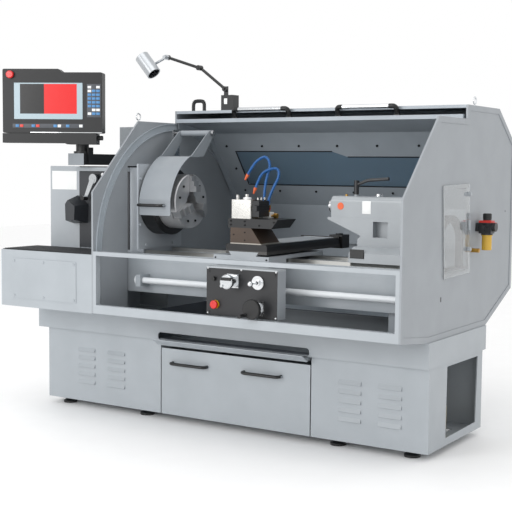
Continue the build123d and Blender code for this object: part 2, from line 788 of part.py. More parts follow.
# Headstock front panel: charcoal face with a ledge, a faceted box and the lever's boss
lever_x = -798.0
lever_z = 1249.0
lever_tip = (-851.0, 1143.0)
lever_pin = 7.0
panel_front_y = head_front_y - 8
with BuildPart() as headstock_front_panel:
    block((head_left_x, left_x), (panel_front_y, head_front_y), (box_top_z + 8, panel_ledge_z))
    block((head_left_x, left_x), (panel_front_y - 24, head_front_y), (panel_ledge_z, head_top_z))
    with BuildSketch(Plane.XZ.offset(-panel_front_y)):
        with BuildLine():
            Polyline((-958, 1006), (-962, 1120), (-930, 1159), (-856, 1114), (-861, 1012), close=True)
        make_face()
    extrude(amount=90, taper=12)
    rod((lever_x, panel_front_y, lever_z), FORWARD, 22, 20)
    rod((lever_x, panel_front_y, lever_z), FORWARD, lever_pin + running_fit, 21, mode=Mode.SUBTRACT)
    rod((-749, panel_front_y, 1272), FORWARD, 11, 12)
headstock_front_panel.part.label = "headstock_front_panel"
export_step(headstock_front_panel.part, "parts/headstock_front_panel.step")

# Speed lever: a pin in its boss, a flat arm and a round dial
with BuildPart() as speed_lever:
    rod((lever_x, panel_front_y - 20.3, lever_z), REARWARD, lever_pin, 18)
    rod((lever_x, panel_front_y - 20.3, lever_z), FORWARD, 26, 14)
    with BuildSketch(Plane.XZ.offset(-(panel_front_y - 24))):
        with BuildLine():
            Polyline(
                (lever_x - 18, lever_z),
                (lever_tip[0] - 9, lever_tip[1]),
                (lever_tip[0] + 9, lever_tip[1] - 6),
                (lever_x + 18, lever_z),
                close=True,
            )
        make_face()
    extrude(amount=12)
    rod((lever_tip[0] + 2, panel_front_y - 24, lever_tip[1] + 4), FORWARD, 13, 36)
speed_lever.part.label = "speed_lever"
export_step(speed_lever.part, "parts/speed_lever.step")

# Left box: a sheet box in front of the headstock with a screwed cover and a ribbed mat on top
with BuildPart() as left_box:
    block((box_left_x, left_x), (front_y, box_rear_y), (box_low_z, box_top_z))
    block((box_left_x + sheet, left_x - sheet), (front_y + sheet, box_rear_y - sheet),
          (box_low_z + sheet, box_top_z - sheet), mode=Mode.SUBTRACT)
    block((left_x - 545, left_x - 102), (front_y - 3, front_y), (620, 830))
    with Locations(*[(x, front_y - 3, z) for x in (left_x - 530, left_x - 324, left_x - 117) for z in (634, 816)]):
        with Locations(Location((0, 0, 0), (90, 0, 0))):
            Cylinder(6, 3, align=(Align.CENTER, Align.CENTER, Align.MIN))
left_box.part.label = "left_box"
export_step(left_box.part, "parts/left_box.step")

mat_ribs = 14
with BuildPart() as box_mat:
    block((box_left_x + 6, left_x - 6), (front_y + 6, box_rear_y - 6), (box_top_z, box_top_z + 3))
    rib_pitch = (box_rear_y - front_y - 24) / mat_ribs
    for n in range(mat_ribs):
        y = front_y + 14 + n * rib_pitch
        block((box_left_x + 12, left_x - 12), (y, y + rib_pitch * 0.6), (box_top_z + 3, box_top_z + 6))
box_mat.part.label = "box_mat"
export_step(box_mat.part, "parts/box_mat.step")

# Electrical cabinet behind the headstock, on the pan's deck
with BuildPart() as electrical_cabinet:
    block((cabinet_left_x, left_x), (cabinet_front_y, cabinet_rear_y), (pan_top_z, cabinet_top_z))
    block((cabinet_left_x - 6, left_x - 20), (cabinet_rear_y - 1, cabinet_rear_y + 14), (pan_top_z + 40, cabinet_top_z - 30))
electrical_cabinet.part.label = "electrical_cabinet"
export_step(electrical_cabinet.part, "parts/electrical_cabinet.step")

# Console arm: a rectangular tube from the cabinet, with an end cap, gusset and swivel post
post_at = ((arm_x[0] + arm_x[1]) / 2, arm_front_y + 52)
with BuildPart() as console_arm:
    block(arm_x, (arm_front_y + 4, cabinet_front_y), arm_z)
    block((arm_x[0] - 2, arm_x[1] + 2), (arm_front_y, arm_front_y + 4), (arm_z[0] - 2, arm_z[1] + 2))
    block((arm_x[0] - 8, arm_x[1] + 30), (cabinet_front_y - 10, cabinet_front_y), (arm_z[0] - 30, arm_z[1] + 30))
    with BuildSketch(Plane.YZ.offset(arm_x[1])):
        with BuildLine():
            Polyline((post_at[1] + 20, arm_z[1]), (post_at[1] + 120, arm_z[0]), (post_at[1] - 20, arm_z[0]),
                     (post_at[1] - 20, arm_z[1] + 34), (post_at[1] + 20, arm_z[1] + 34), close=True)
        make_face()
    extrude(amount=5)
    rod((post_at[0], post_at[1], arm_z[1]), UP, 46, 14)
    rod((post_at[0], post_at[1], arm_z[1] + 14), UP, neck_radius, 40)
console_arm.part.label = "console_arm"
export_step(console_arm.part, "parts/console_arm.step")

# Console: a housing with a stepped top, a lower tray and a swivel socket, and its own pieces
console_plane = Plane(origin=console_centre, x_dir=(cos(radians(console_turn)), sin(radians(console_turn)), 0),
                      z_dir=(sin(radians(console_turn)), -cos(radians(console_turn)), 0))
half_w = console_width / 2
half_h = console_height / 2
tray_low = -half_h - 58
console_way = tuple(console_plane.z_dir)
stop_seat = console_plane.from_local_coords((-half_w + 42, half_h - 30, gap - stop_stem))
stop_bore = console_plane.from_local_coords((-half_w + 42, half_h - 30, 1))
screen_at = (-22.0, 0.0)
screen_size = (366.0, 190.0)
socket_z = arm_z[1] + 14 + gap
with BuildPart() as console_body:
    with BuildSketch(console_plane):
        with BuildLine():
            Polyline(
                (-half_w, -half_h),
                (-half_w, half_h),
                (half_w * 0.12, half_h),
                (half_w * 0.2, half_h - console_step),
                (half_w, half_h - console_step),
                (half_w, -half_h),
                close=True,
            )
        front = make_face()
        fillet(front.vertices(), 8)
    extrude(amount=-console_depth)
    with BuildSketch(console_plane.offset(6)):
        with BuildLine():
            Polyline((-half_w, -half_h - 2), (half_w - 30, -half_h - 2), (half_w - 30, tray_low),
                     (half_w * 0.3, tray_low), (half_w * 0.25, tray_low + 6), (-half_w, tray_low + 6), close=True)
        make_face()
    extrude(amount=-console_depth - 6)
    with BuildSketch(console_plane.offset(-10)):
        with Locations((0, -half_h)):
            Rectangle(console_width * 0.8, 20)
    extrude(amount=-console_depth + 20)
    with BuildSketch(console_plane):
        with Locations(screen_at):
            Rectangle(*screen_size)
    extrude(amount=-4, mode=Mode.SUBTRACT)
    rod((post_at[0], post_at[1], socket_z), UP, 34, console_centre[2] + tray_low - socket_z + 8)
    rod((post_at[0], post_at[1], socket_z), UP, neck_radius + running_fit, 42, mode=Mode.SUBTRACT)
    rod(tuple(stop_bore), tuple(-c for c in console_way), stop_radius + running_fit, stop_stem + stop_travel + 2,
        mode=Mode.SUBTRACT)
    knob_at = console_plane.from_local_coords((half_w - 30, tray_low + 34, -30))
    rod((knob_at.X, knob_at.Y, knob_at.Z), console_plane.x_dir, 12, 26)
console_body.part.label = "console_body"
export_step(console_body.part, "parts/console_body.step")

with BuildPart() as console_screen:
    with BuildSketch(console_plane.offset(-4)):
        with Locations(screen_at):
            Rectangle(screen_size[0] - 2, screen_size[1] - 2)
    extrude(amount=3)
console_screen.part.label = "console_screen"
export_step(console_screen.part, "parts/console_screen.step")

# Emergency stop buttons: one on the console and one on the apron



def stop_button(at, way):
    """A mushroom head on a stem that runs in its own sleeve."""
    with BuildPart() as button:
        rod(at, way, stop_radius, stop_stem + stop_travel)
        rod(tuple(at[i] + way[i] * (stop_stem + stop_travel) for i in range(3)), way, 20, 12)
        fillet(button.faces().sort_by(Axis(at, way))[-1].edges(), 5)
    return button.part


with BuildPart() as console_stop:
    add(stop_button(tuple(stop_seat), console_way))
console_stop.part.label = "console_stop"
export_step(console_stop.part, "parts/console_stop.step")

# Spindle: a hollow shaft with its nose, and the black backplate that turns with it
nose_x = head_right_x + end_plate_thick
with BuildPart() as spindle:
    rod((cover_left_x + 60, spindle_y, spindle_z), ALONG, spindle_radius, nose_x + backplate_thick - cover_left_x - 60)
    rod((nose_x + 1, spindle_y, spindle_z), ALONG, backplate_radius, backplate_thick - 1)
    chamfer(spindle.edges().filter_by(GeomType.CIRCLE).sort_by(Axis.X)[-1], 4)
    rod((head_left_x - 90, spindle_y, spindle_z), ALONG, 110, 60)
    rod((cover_left_x, spindle_y, spindle_z), ALONG, spindle_bore, nose_x + backplate_thick - cover_left_x + 1, mode=Mode.SUBTRACT)
spindle.part.label = "spindle"
export_step(spindle.part, "parts/spindle.step")

# Chuck: a turned body with a through bore and three slots, and three stepped jaws
chuck_x = nose_x + backplate_thick
slot_low = 34.0
with BuildPart() as chuck_body:
    rod((chuck_x, spindle_y, spindle_z), ALONG, chuck_radius, chuck_thick)
    chamfer(chuck_body.edges().filter_by(GeomType.CIRCLE).sort_by(Axis.X)[-1], 5)
    rod((chuck_x - 1, spindle_y, spindle_z), ALONG, chuck_bore, chuck_thick + 2, mode=Mode.SUBTRACT)
    for turn in (90, 210, 330):
        with BuildSketch(Plane(origin=(chuck_x + chuck_thick, spindle_y, spindle_z), x_dir=(0, cos(radians(turn)), sin(radians(turn))), z_dir=(1, 0, 0))):
            with Locations(((slot_low + chuck_radius + 6) / 2, 0)):
                Rectangle(chuck_radius + 6 - slot_low, jaw_width + 2 * gap)
        extrude(amount=-slot_low, mode=Mode.SUBTRACT)
chuck_body.part.label = "chuck_body"
export_step(chuck_body.part, "parts/chuck_body.step")


def chuck_jaw(turn):
    """A jaw with three steps that fall away from the middle."""
    with BuildPart() as jaw:
        with BuildSketch(Plane(origin=(chuck_x + chuck_thick, spindle_y, spindle_z), x_dir=(1, 0, 0),
                               z_dir=(0, -sin(radians(turn)), cos(radians(turn))))) as side_view:
            out = 1 if side_view.workplanes[0].y_dir.dot(Vector(0, cos(radians(turn)), sin(radians(turn)))) > 0 else -1
            with BuildLine():
                Polyline(
                    (-slot_low + gap, out * 58),
                    (-slot_low + gap, out * 132),
                    (16, out * 132),
                    (16, out * 106),
                    (30, out * 106),
                    (30, out * 80),
                    (44, out * 80),
                    (44, out * 50),
                    (gap, out * 50),
                    (gap, out * 58),
                    close=True,
                )
            make_face()
        extrude(amount=jaw_width / 2, both=True)
    return jaw.part


with BuildPart() as chuck_jaw_1:
    add(chuck_jaw(90))
chuck_jaw_1.part.label = "chuck_jaw_1"
export_step(chuck_jaw_1.part, "parts/chuck_jaw_1.step")

with BuildPart() as chuck_jaw_2:
    add(chuck_jaw(210))
chuck_jaw_2.part.label = "chuck_jaw_2"
export_step(chuck_jaw_2.part, "parts/chuck_jaw_2.step")

with BuildPart() as chuck_jaw_3:
    add(chuck_jaw(330))
chuck_jaw_3.part.label = "chuck_jaw_3"
export_step(chuck_jaw_3.part, "parts/chuck_jaw_3.step")

# Guard bracket: a folded arm on the headstock that carries the chuck guard's pivot pin
with BuildPart() as guard_bracket:
    block((head_right_x - 60, head_right_x - 4), (guard_pivot_y - 30, guard_pivot_y + 24), (head_top_z, head_top_z + 8))
    block((head_right_x - 12, head_right_x - 4), (guard_pivot_y - 30, guard_pivot_y + 24), (head_top_z, guard_pivot_z + 18))
    rod((head_right_x - 12, guard_pivot_y, guard_pivot_z), ALONG, pivot_radius, guard_right_x + 16 - head_right_x + 12)
    rod((guard_right_x + 4, guard_pivot_y, guard_pivot_z), ALONG, 15, 14)
guard_bracket.part.label = "guard_bracket"
export_step(guard_bracket.part, "parts/guard_bracket.step")

# Chuck guard: a curved sheet on two arms with a hub round the pivot pin, and a bow handle
with BuildPart() as chuck_guard:
    with BuildSketch(Plane.YZ.offset(guard_left_x)):
        with BuildLine() as skin:
            l1 = Line((-391, 1069), (-392, 1150))
            l2 = ThreePointArc((-392, 1150), (-326, 1290), (-226, 1369))
            l3 = Line((-226, 1369), (-100, 1374))
            l4 = Line((-100, 1374), (-100, 1371))
            l5 = Line((-100, 1371), (-225, 1366))
            l6 = ThreePointArc((-225, 1366), (-323.6, 1288), (-389, 1150))
            l7 = Line((-389, 1150), (-388, 1069))
            l8 = Line((-388, 1069), (-391, 1069))
        make_face()
    extrude(amount=guard_right_x - guard_left_x)
    for x in (guard_left_x, guard_right_x - 4):
        with BuildSketch(Plane.YZ.offset(x)):
            with BuildLine():
                Polyline((-226, 1368), (-100, 1372), (-10, 1482), (-50, 1508), (-200, 1380), close=True)
            make_face()
        extrude(amount=4)
    rod((guard_left_x, guard_pivot_y, guard_pivot_z), ALONG, 15, guard_right_x - guard_left_x)
    rod((guard_left_x - 1, guard_pivot_y, guard_pivot_z), ALONG, pivot_radius + running_fit,
        guard_right_x - guard_left_x + 2, mode=Mode.SUBTRACT)
    with Locations(((guard_left_x + 7 + guard_left_x + 161) / 2, -390, 1121)):
        add(bow_handle(150, 34, 8))
chuck_guard.part.label = "chuck_guard"
export_step(chuck_guard.part, "parts/chuck_guard.step")

# Saddle: a casting over the ways with a dovetail on top and a bracket down to the control box
with BuildPart() as saddle:
    with BuildSketch(Plane.YZ.offset(saddle_x[0])):
        with BuildLine():
            Polyline(
                (saddle_front_y, control_z[1] - 40),
                (saddle_front_y, saddle_top_z),
                (saddle_rear_y, saddle_top_z),
                (saddle_rear_y, bed_top_z - 30),
                (bed_rear_y + 1, bed_top_z - 30),
                (bed_rear_y + 1, way_z + gap),
                (bed_front_y - 1, way_z + gap),
                (bed_front_y - 1, control_z[1] - 60),
                (bed_front_y - 40, control_z[1] - 60),
                close=True,
            )
        make_face()
    extrude(amount=saddle_x[1] - saddle_x[0])
    with BuildSketch(Plane.XZ.offset(-saddle_front_y)):
        with BuildLine():
            Polyline((dovetail_low[0], saddle_top_z), (dovetail_top[0], dovetail_z), (dovetail_top[1], dovetail_z),
                     (dovetail_low[1], saddle_top_z), close=True)
        make_face()
    extrude(amount=-(saddle_rear_y - saddle_front_y))
    block((saddle_x[0] + 60, saddle_x[1] - 60), (saddle_front_y, screw_y + 40), (screw_z - 40, control_z[1] - 40))
    rod((saddle_x[0], screw_y, screw_z), ALONG, screw_radius + running_fit, saddle_x[1] - saddle_x[0], mode=Mode.SUBTRACT)
saddle.part.label = "saddle"
export_step(saddle.part, "parts/saddle.step")

# Control box: it hangs on the saddle between the sill and the lower rail
control_rear_y = control_front_y + control_depth
with BuildPart() as control_box:
    block(control_x, (control_front_y, control_rear_y), control_z)
    block((saddle_x[0] + 60, saddle_x[1] - 60), (control_rear_y, saddle_front_y), (screw_z - 40, control_z[1] - 10))
    for x, z in (wheel_z_at, wheel_x_at):
        block((x - 32, x + 32), (control_front_y - 10, control_front_y), (z - 32, z + 32))
        rod((x, control_front_y - 10, z), FORWARD, 26, 30)
        rod((x, control_front_y - 40, z), REARWARD, wheel_pin + running_fit, 60, mode=Mode.SUBTRACT)
    x, z = joystick_at
    rod((x, control_front_y, z), FORWARD, 32, 8)
    rod((x, control_front_y - 8, z), FORWARD, 14, 8)
    rod((x, control_front_y - 16, z), REARWARD, 8, 30, mode=Mode.SUBTRACT)
    x, z = estop_at
    rod((x, control_front_y, z), FORWARD, 20, stop_ring)
    rod((x, control_front_y - stop_ring, z), REARWARD, stop_radius + running_fit, 30, mode=Mode.SUBTRACT)
    x, z = selector_at
    rod((x, control_front_y, z), FORWARD, 10, 14)
    corner = 14
    with Locations(*[(x, control_front_y, z) for x in (control_x[0] + corner, control_x[1] - corner)
                     for z in (control_z[0] + corner, control_z[1] - corner - 8)]):
        with Locations(Location((0, 0, 0), (90, 0, 0))):
            Cylinder(5, 3, align=(Align.CENTER, Align.CENTER, Align.MIN))
control_box.part.label = "control_box"
export_step(control_box.part, "parts/control_box.step")


def handwheel(at, radius):
    """A dished wheel on a pin, with a folding crank grip."""
    x, z = at
    face_y = control_front_y - wheel_reach
    with BuildPart() as wheel:
        with BuildSketch(Plane.XY.offset(z)):
            with BuildLine():
                Polyline(
                    (x, face_y),
                    (x + radius - 4, face_y),
                    (x + radius, face_y + 4),
                    (x + radius, face_y + 18),
                    (x + radius - 8, face_y + 18),
                    (x + 20, face_y + 14),
                    (x + 20, control_front_y - 40 - gap),
                    (x + wheel_pin, control_front_y - 40 - gap),
                    (x + wheel_pin, control_front_y - 10),
                    (x, control_front_y - 10),
                    close=True,
                )
            make_face()
        revolve(axis=Axis((x, 0, z), (0, 1, 0)))
        rod((x - radius * 0.6, face_y, z - radius * 0.55), FORWARD, 7, 6)
    return wheel.part


with BuildPart() as handwheel_z:
    add(handwheel(wheel_z_at, 34))
handwheel_z.part.label = "handwheel_z"
export_step(handwheel_z.part, "parts/handwheel_z.step")

with BuildPart() as handwheel_x:
    add(handwheel(wheel_x_at, 46))
    rod((wheel_x_at[0] - 34, control_front_y - wheel_reach, wheel_x_at[1] - 30), FORWARD, 9, 42)
handwheel_x.part.label = "handwheel_x"
export_step(handwheel_x.part, "parts/handwheel_x.step")

# Joystick: a rod with a ball that tilts in its collar
with BuildPart() as joystick:
    rod((joystick_at[0], control_front_y + 4, joystick_at[1]), FORWARD, 5, 66)
    with Locations((joystick_at[0], control_front_y - 70, joystick_at[1])):
        Sphere(13)
    with Locations((joystick_at[0], control_front_y, joystick_at[1])):
        Sphere(8 - running_fit)
joystick.part.label = "joystick"
export_step(joystick.part, "parts/joystick.step")

with BuildPart() as apron_stop:
    add(stop_button((estop_at[0], control_front_y + stop_stem - stop_ring - gap, estop_at[1]), FORWARD))
apron_stop.part.label = "apron_stop"
export_step(apron_stop.part, "parts/apron_stop.step")

# Cross slide: a dovetailed slide with a light strip on top and its motor behind
with BuildPart() as cross_slide:
    with BuildSketch(Plane.XZ.offset(-saddle_front_y)):
        with BuildLine():
            Polyline((cross_x[0], saddle_top_z + 9), (cross_x[0], cross_top_z - 10), (cross_x[0] + 6, cross_top_z),
                     (cross_x[1] - 6, cross_top_z), (cross_x[1], cross_top_z - 10), (cross_x[1], saddle_top_z + 9),
                     close=True)
        make_face()
        with BuildLine():
            Polyline((dovetail_low[0] - gap, saddle_top_z), (dovetail_top[0] - gap, dovetail_z + gap),
                     (dovetail_top[1] + gap, dovetail_z + gap), (dovetail_low[1] + gap, saddle_top_z), close=True)
        make_face(mode=Mode.SUBTRACT)
    extrude(amount=-(cross_rear_y - saddle_front_y))
    block((cross_x[0], cross_x[1]), (cross_rear_y, cross_rear_y + 16), (saddle_top_z + 4, cross_top_z + 6))
    block((cross_x[1] - 66, cross_x[1] + 10), (cross_rear_y + 16, cross_rear_y + 96), (saddle_top_z, cross_top_z + 14))
    rod((cross_x[1] - 28, cross_rear_y + 56, cross_top_z + 14), UP, 20, 6)
cross_slide.part.label = "cross_slide"
export_step(cross_slide.part, "parts/cross_slide.step")

# Tool block: a cast riser with a sloping right side and the dark plate on top of it
with BuildPart() as tool_block:
    with BuildSketch(Plane.XZ.offset(-block_y[0])):
        with BuildLine():
            Polyline((riser_x[0], cross_top_z), (riser_x[0], riser_top_z), (riser_top_x, riser_top_z),
                     (riser_x[1], cross_top_z), close=True)
        make_face()
    extrude(amount=-(block_y[1] - block_y[0]))
    with BuildSketch(Plane.XZ.offset(-block_y[0])):
        with BuildLine():
            Polyline((plate_x[0], riser_top_z), (plate_x[0], plate_top_z), (plate_x[1], plate_top_z),
                     (plate_x[1] - 34, riser_top_z), close=True)
        make_face()
    extrude(amount=-(block_y[1] - block_y[0]))
tool_block.part.label = "tool_block"
export_step(tool_block.part, "parts/tool_block.step")

# Tool post: a square block with its clamp nut, and the holder with a turning tool on its right
tool_top_z = spindle_z
with BuildPart() as tool_post:
    block(post_x, post_y, (plate_top_z, post_top_z))
    fillet(tool_post.edges().filter_by(Axis.Z), 6)
    rod(((post_x[0] + post_x[1]) / 2, (post_y[0] + post_y[1]) / 2, post_top_z), UP, 20, 10)
    rod(((post_x[0] + post_x[1]) / 2, (post_y[0] + post_y[1]) / 2, post_top_z + 10), UP, 12, 15)
    rod((post_x[0] + 22, post_y[0] + 24, post_top_z), UP, 8, 22)
    block((post_x[1], post_x[1] + 38), (post_y[0] + 10, post_y[1] - 10), (plate_top_z + 10, plate_top_z + 84))
    block((post_x[1] + 12, post_x[1] + 39), (post_y[0], post_y[1]), (tool_top_z - 24, tool_top_z + 1), mode=Mode.SUBTRACT)
    block((post_x[1] + 12, post_x[1] + 34), (post_y[0] - 4, post_y[1] + 3), (tool_top_z - 24, tool_top_z))
    for n in range(3):
        rod((post_x[1] + 24, post_y[0] + 24 + n * 30, plate_top_z + 84), UP, 5, 16)
tool_post.part.label = "tool_post"
export_step(tool_post.part, "parts/tool_post.step")

# Coolant manifold: a block with two taps and brass fittings, on the plate behind the tool post
with BuildPart() as coolant_manifold:
    block(manifold_x, manifold_y, (plate_top_z, manifold_top_z))
    for x, y in ((hose_1_x, hose_1_y), (hose_2_x, hose_2_y)):
        rod((x, y, manifold_top_z), UP, 9, 16)
        rod((x, y, manifold_top_z + 16), UP, 11, fitting_top_z - manifold_top_z - 26)
        rod((x, y, manifold_top_z + 14), FORWARD, 4, 14)
        block((x - 24, x + 6), (y - 17, y - 13), (manifold_top_z + 9, manifold_top_z + 19))
    rod((manifold_x[1], (manifold_y[0] + manifold_y[1]) / 2, 1088), ALONG, 5, 14)
    rod((manifold_x[1] + 14, (manifold_y[0] + manifold_y[1]) / 2, 1088), ALONG, 12, 18)
coolant_manifold.part.label = "coolant_manifold"
export_step(coolant_manifold.part, "parts/coolant_manifold.step")

# Coolant hoses: two bent lines from the fittings, each with its nozzle
hose_1 = [(0, 0), (0, 30), (4, 84), (16, 140), (36, 192), (10, 236), (-44, 212), (-80, 166), (-96, 140)]
hose_2 = [(0, 0), (0, 28), (28, 88), (60, 140), (48, 182), (-34, 160), (-64, 106), (-76, 76)]


def hose(start, route, drop):
    """A round line along a route given as X and Z from its start, with a cone at its tip."""
    points = [(start[0] + x, start[1], start[2] + z) for x, z in route]
    radii = []
    for n in range(1, len(points) - 1):
        before = Vector(*points[n]) - Vector(*points[n - 1])
        after = Vector(*points[n + 1]) - Vector(*points[n])
        half_turn = radians(before.get_angle(after)) / 2
        radii.append(0.45 * min(before.length, after.length) / tan(half_turn))
    with BuildPart() as line:
        with BuildLine() as path:
            FilletPolyline(*points, radius=radii)
        with BuildSketch(Plane(origin=path.line @ 0, z_dir=path.line % 0)):
            Circle(hose_radius)
        sweep()
        with BuildSketch(Plane(origin=path.line @ 1, z_dir=path.line % 1)):
            Circle(hose_radius + 1)
        extrude(amount=drop, taper=9)
    return line.part


with BuildPart() as coolant_hoses:
    add(hose((hose_1_x, hose_1_y, fitting_top_z - 10), hose_1, 26))
    add(hose((hose_2_x, hose_2_y, fitting_top_z - 10), hose_2, 26))
coolant_hoses.part.label = "coolant_hoses"
export_step(coolant_hoses.part, "parts/coolant_hoses.step")

# Tailstock: base on the ways, column, overhanging arm and the barrel that holds the quill
with BuildPart() as tailstock_body:
    with BuildSketch(Plane.YZ.offset(tail_base_x[0])):
        with BuildLine():
            Polyline(
                (-348, way_z + gap), (-348, 930), (-300, 956), (-100, 956), (-52, 930), (-52, way_z + gap), close=True)
        make_face()
    extrude(amount=tail_base_x[1] - tail_base_x[0])
    with BuildSketch(Plane.XZ.offset(-(spindle_y - 62))):
        with BuildLine():
            Polyline(
                (562, 1077), (738, 1004), (721, 988), (721, 956), (1000, 956), (1000, 990), (975, 1010), (960, 1087), (562, 1087),
                close=True)
        make_face()
    extrude(amount=-124)
    block((800, 875), (spindle_y - 63, spindle_y - 20), (999, 1072), mode=Mode.SUBTRACT)
    block(tail_x, (spindle_y - 58, spindle_y + 58), (1087, 1187))
    fillet(tailstock_body.edges().filter_by(Axis.X).group_by(Axis.Z)[-1], 24)
    rod((tail_x[0] - 12, spindle_y, spindle_z), ALONG, 48, 12)
    rod((tail_x[0] - 13, spindle_y, spindle_z), ALONG, quill_radius + running_fit, tail_x[1] - tail_x[0] + 14, mode=Mode.SUBTRACT)
    block((729, 799), (-352, -346), (907, 947))
    rod((645, spindle_y - 30, 1187), UP, 7, 8)
    rod((800, spindle_y, 1187), UP, 18, 12)
    rod((628, spindle_y - 58, 1140), FORWARD, 16, 2)
    rod((691, spindle_y - 20, 1187), UP, 10, 8)
    rod((691, spindle_y - 20, 1180), UP, 6 + running_fit, 20, mode=Mode.SUBTRACT)
tailstock_body.part.label = "tailstock_body"
export_step(tailstock_body.part, "parts/tailstock_body.step")

# Quill: the barrel with its taper bore, sliding in the tailstock
quill_taper = 12.0
with BuildPart() as quill:
    rod((quill_nose_x, spindle_y, spindle_z), ALONG, quill_radius, tail_x[1] - 40 - quill_nose_x)
    chamfer(quill.edges().filter_by(GeomType.CIRCLE).sort_by(Axis.X)[0], 3)
    rod((quill_nose_x - 1, spindle_y, spindle_z), ALONG, quill_taper, 120, mode=Mode.SUBTRACT)
quill.part.label = "quill"
export_step(quill.part, "parts/quill.step")

# Tailstock handwheel with three spokes and a grip, and the stub that turns in the barrel's end
with BuildPart() as tailstock_wheel:
    with BuildSketch(Plane.YZ.offset(tail_wheel_x)):
        with Locations((spindle_y, spindle_z)):
            Circle(tail_wheel_radius)
            Circle(tail_wheel_radius - 16, mode=Mode.SUBTRACT)
            Circle(24)
            with PolarLocations(0, 3):
                with Locations((40, 0)):
                    Rectangle(60, 14)
    extrude(amount=16)
    rod((tail_x[1] - 30, spindle_y, spindle_z), ALONG, quill_radius, tail_wheel_x - tail_x[1] + 32)
    rod((tail_wheel_x + 16, spindle_y + tail_wheel_radius - 8, spindle_z), ALONG, 8, 28)
tailstock_wheel.part.label = "tailstock_wheel"
export_step(tailstock_wheel.part, "parts/tailstock_wheel.step")

# Quill clamp lever: a post with a long arm that slopes up to the right
lever_at = (691.0, spindle_y - 20)
with BuildPart() as quill_lever:
    rod((lever_at[0], lever_at[1], 1182), UP, 6, 50)
    rod((lever_at[0], lever_at[1], 1195 + gap), UP, 12, 66)
    with BuildLine() as lever_line:
        FilletPolyline((lever_at[0], lever_at[1], 1240), (lever_at[0] + 60, lever_at[1], 1262),
                       (lever_at[0] + 166, lever_at[1], 1270), radius=60)
    with BuildSketch(Plane(origin=lever_line.line @ 0, z_dir=lever_line.line % 0)):
        Circle(8)
    sweep()
quill_lever.part.label = "quill_lever"
export_step(quill_lever.part, "parts/quill_lever.step")

# Cable chain behind the side window: linked plates that bend over in an arc
chain_at = (front_y + 560, 900)
chain_links = 9
chain_radius = 130.0
with BuildPart() as cable_chain:
    block((inner_right - 28, inner_right), (chain_at[0] - 20, chain_at[0] + 180), (chain_at[1] - 52, chain_at[1] - 44))
    for n in range(chain_links):
        angle = radians(18 + n * 18)
        with Locations(Location((inner_right - 14, chain_at[0] + chain_radius * cos(angle),
                                 chain_at[1] + 60 + chain_radius * sin(angle)), (18 + n * 18, 0, 0))):
            Box(28, 30, 43)
    block((inner_right - 28, inner_right), (chain_at[0] + 108, chain_at[0] + 138), (chain_at[1] - 46, chain_at[1] + 112))
    block((inner_right - 28, inner_right), (chain_at[0] - 138, chain_at[0] - 108), (chain_at[1] - 46, chain_at[1] + 112))
    block((inner_right - 28, inner_right), (chain_at[0] - 138, chain_at[0] + 138), (chain_at[1] - 52, chain_at[1] - 40))
cable_chain.part.label = "cable_chain"
export_step(cable_chain.part, "parts/cable_chain.step")

# Air unit on the right panel: bracket, regulator body, gauge, filter bowl and elbow
air_x = right_x + 45.0
air_y = front_y + 867.0
with BuildPart() as air_unit:
    block((right_x - panel_recess, right_x + 12), (air_y - 30, air_y + 60), (1020, 1060))
    block((right_x + 12, air_x + 28), (air_y - 26, air_y + 26), (1010, 1072))
    rod((air_x + 28, air_y, 1042), ALONG, 22, 18)
    rod((air_x, air_y, 930), UP, 24, 70)
    rod((air_x, air_y, 1000), UP, 28, 10)
    rod((air_x, air_y - 26, 1040), FORWARD, 10, 30)
    rod((air_x, air_y, 1072), UP, 20, 8)
    rod((air_x, air_y, 1073), UP, 8 + running_fit, 10, mode=Mode.SUBTRACT)
    rod((right_x - panel_recess, air_y - 76, 931), ALONG, 10, 40)
    rod((air_x, air_y + 26, 1040), REARWARD, 10, 24)
    rod((air_x, air_y + 51, 1040), FORWARD, 5, 30, mode=Mode.SUBTRACT)
air_unit.part.label = "air_unit"
export_step(air_unit.part, "parts/air_unit.step")

with BuildPart() as regulator_knob:
    rod((air_x, air_y, 1073 + gap), UP, 8, 12)
    rod((air_x, air_y, 1080 + gap), UP, 21, 26)
    chamfer(regulator_knob.edges().filter_by(GeomType.CIRCLE).sort_by(Axis.Z)[-1], 3)
regulator_knob.part.label = "regulator_knob"
export_step(regulator_knob.part, "parts/regulator_knob.step")

# Eye bolts: one on each side panel's top edge
eye_radius = 17.0
with BuildPart() as eye_bolts:
    for x, y, z in ((left_x + panel_thick / 2, slope_y - 10 + 12, arch_top_z), (right_x - panel_thick / 2, roof_front_y + 95, roof_z)):
        rod((x, y, z), UP, 4, 8)
        with Locations(Location((x, y, z + 6 + eye_radius), (0, 90, 0))):
            Torus(eye_radius, 3.5)
eye_bolts.part.label = "eye_bolts"
export_step(eye_bolts.part, "parts/eye_bolts.step")

# Conduit: a short corrugated bend from the roof into a coupling over the cabinet
conduit_at = (-478.0, roof_front_y + 30)
with BuildPart() as conduit:
    with BuildLine() as bend:
        FilletPolyline((conduit_at[0], conduit_at[1], roof_z), (conduit_at[0], conduit_at[1], roof_z + 52),
                       (conduit_at[0] + 72, conduit_at[1], roof_z + 56), (conduit_at[0] + 72, conduit_at[1], roof_z),
                       radius=24)
    with BuildSketch(Plane(origin=bend.line @ 0, z_dir=bend.line % 0)):
        Circle(9)
    sweep()
conduit.part.label = "conduit"
export_step(conduit.part, "parts/conduit.step")

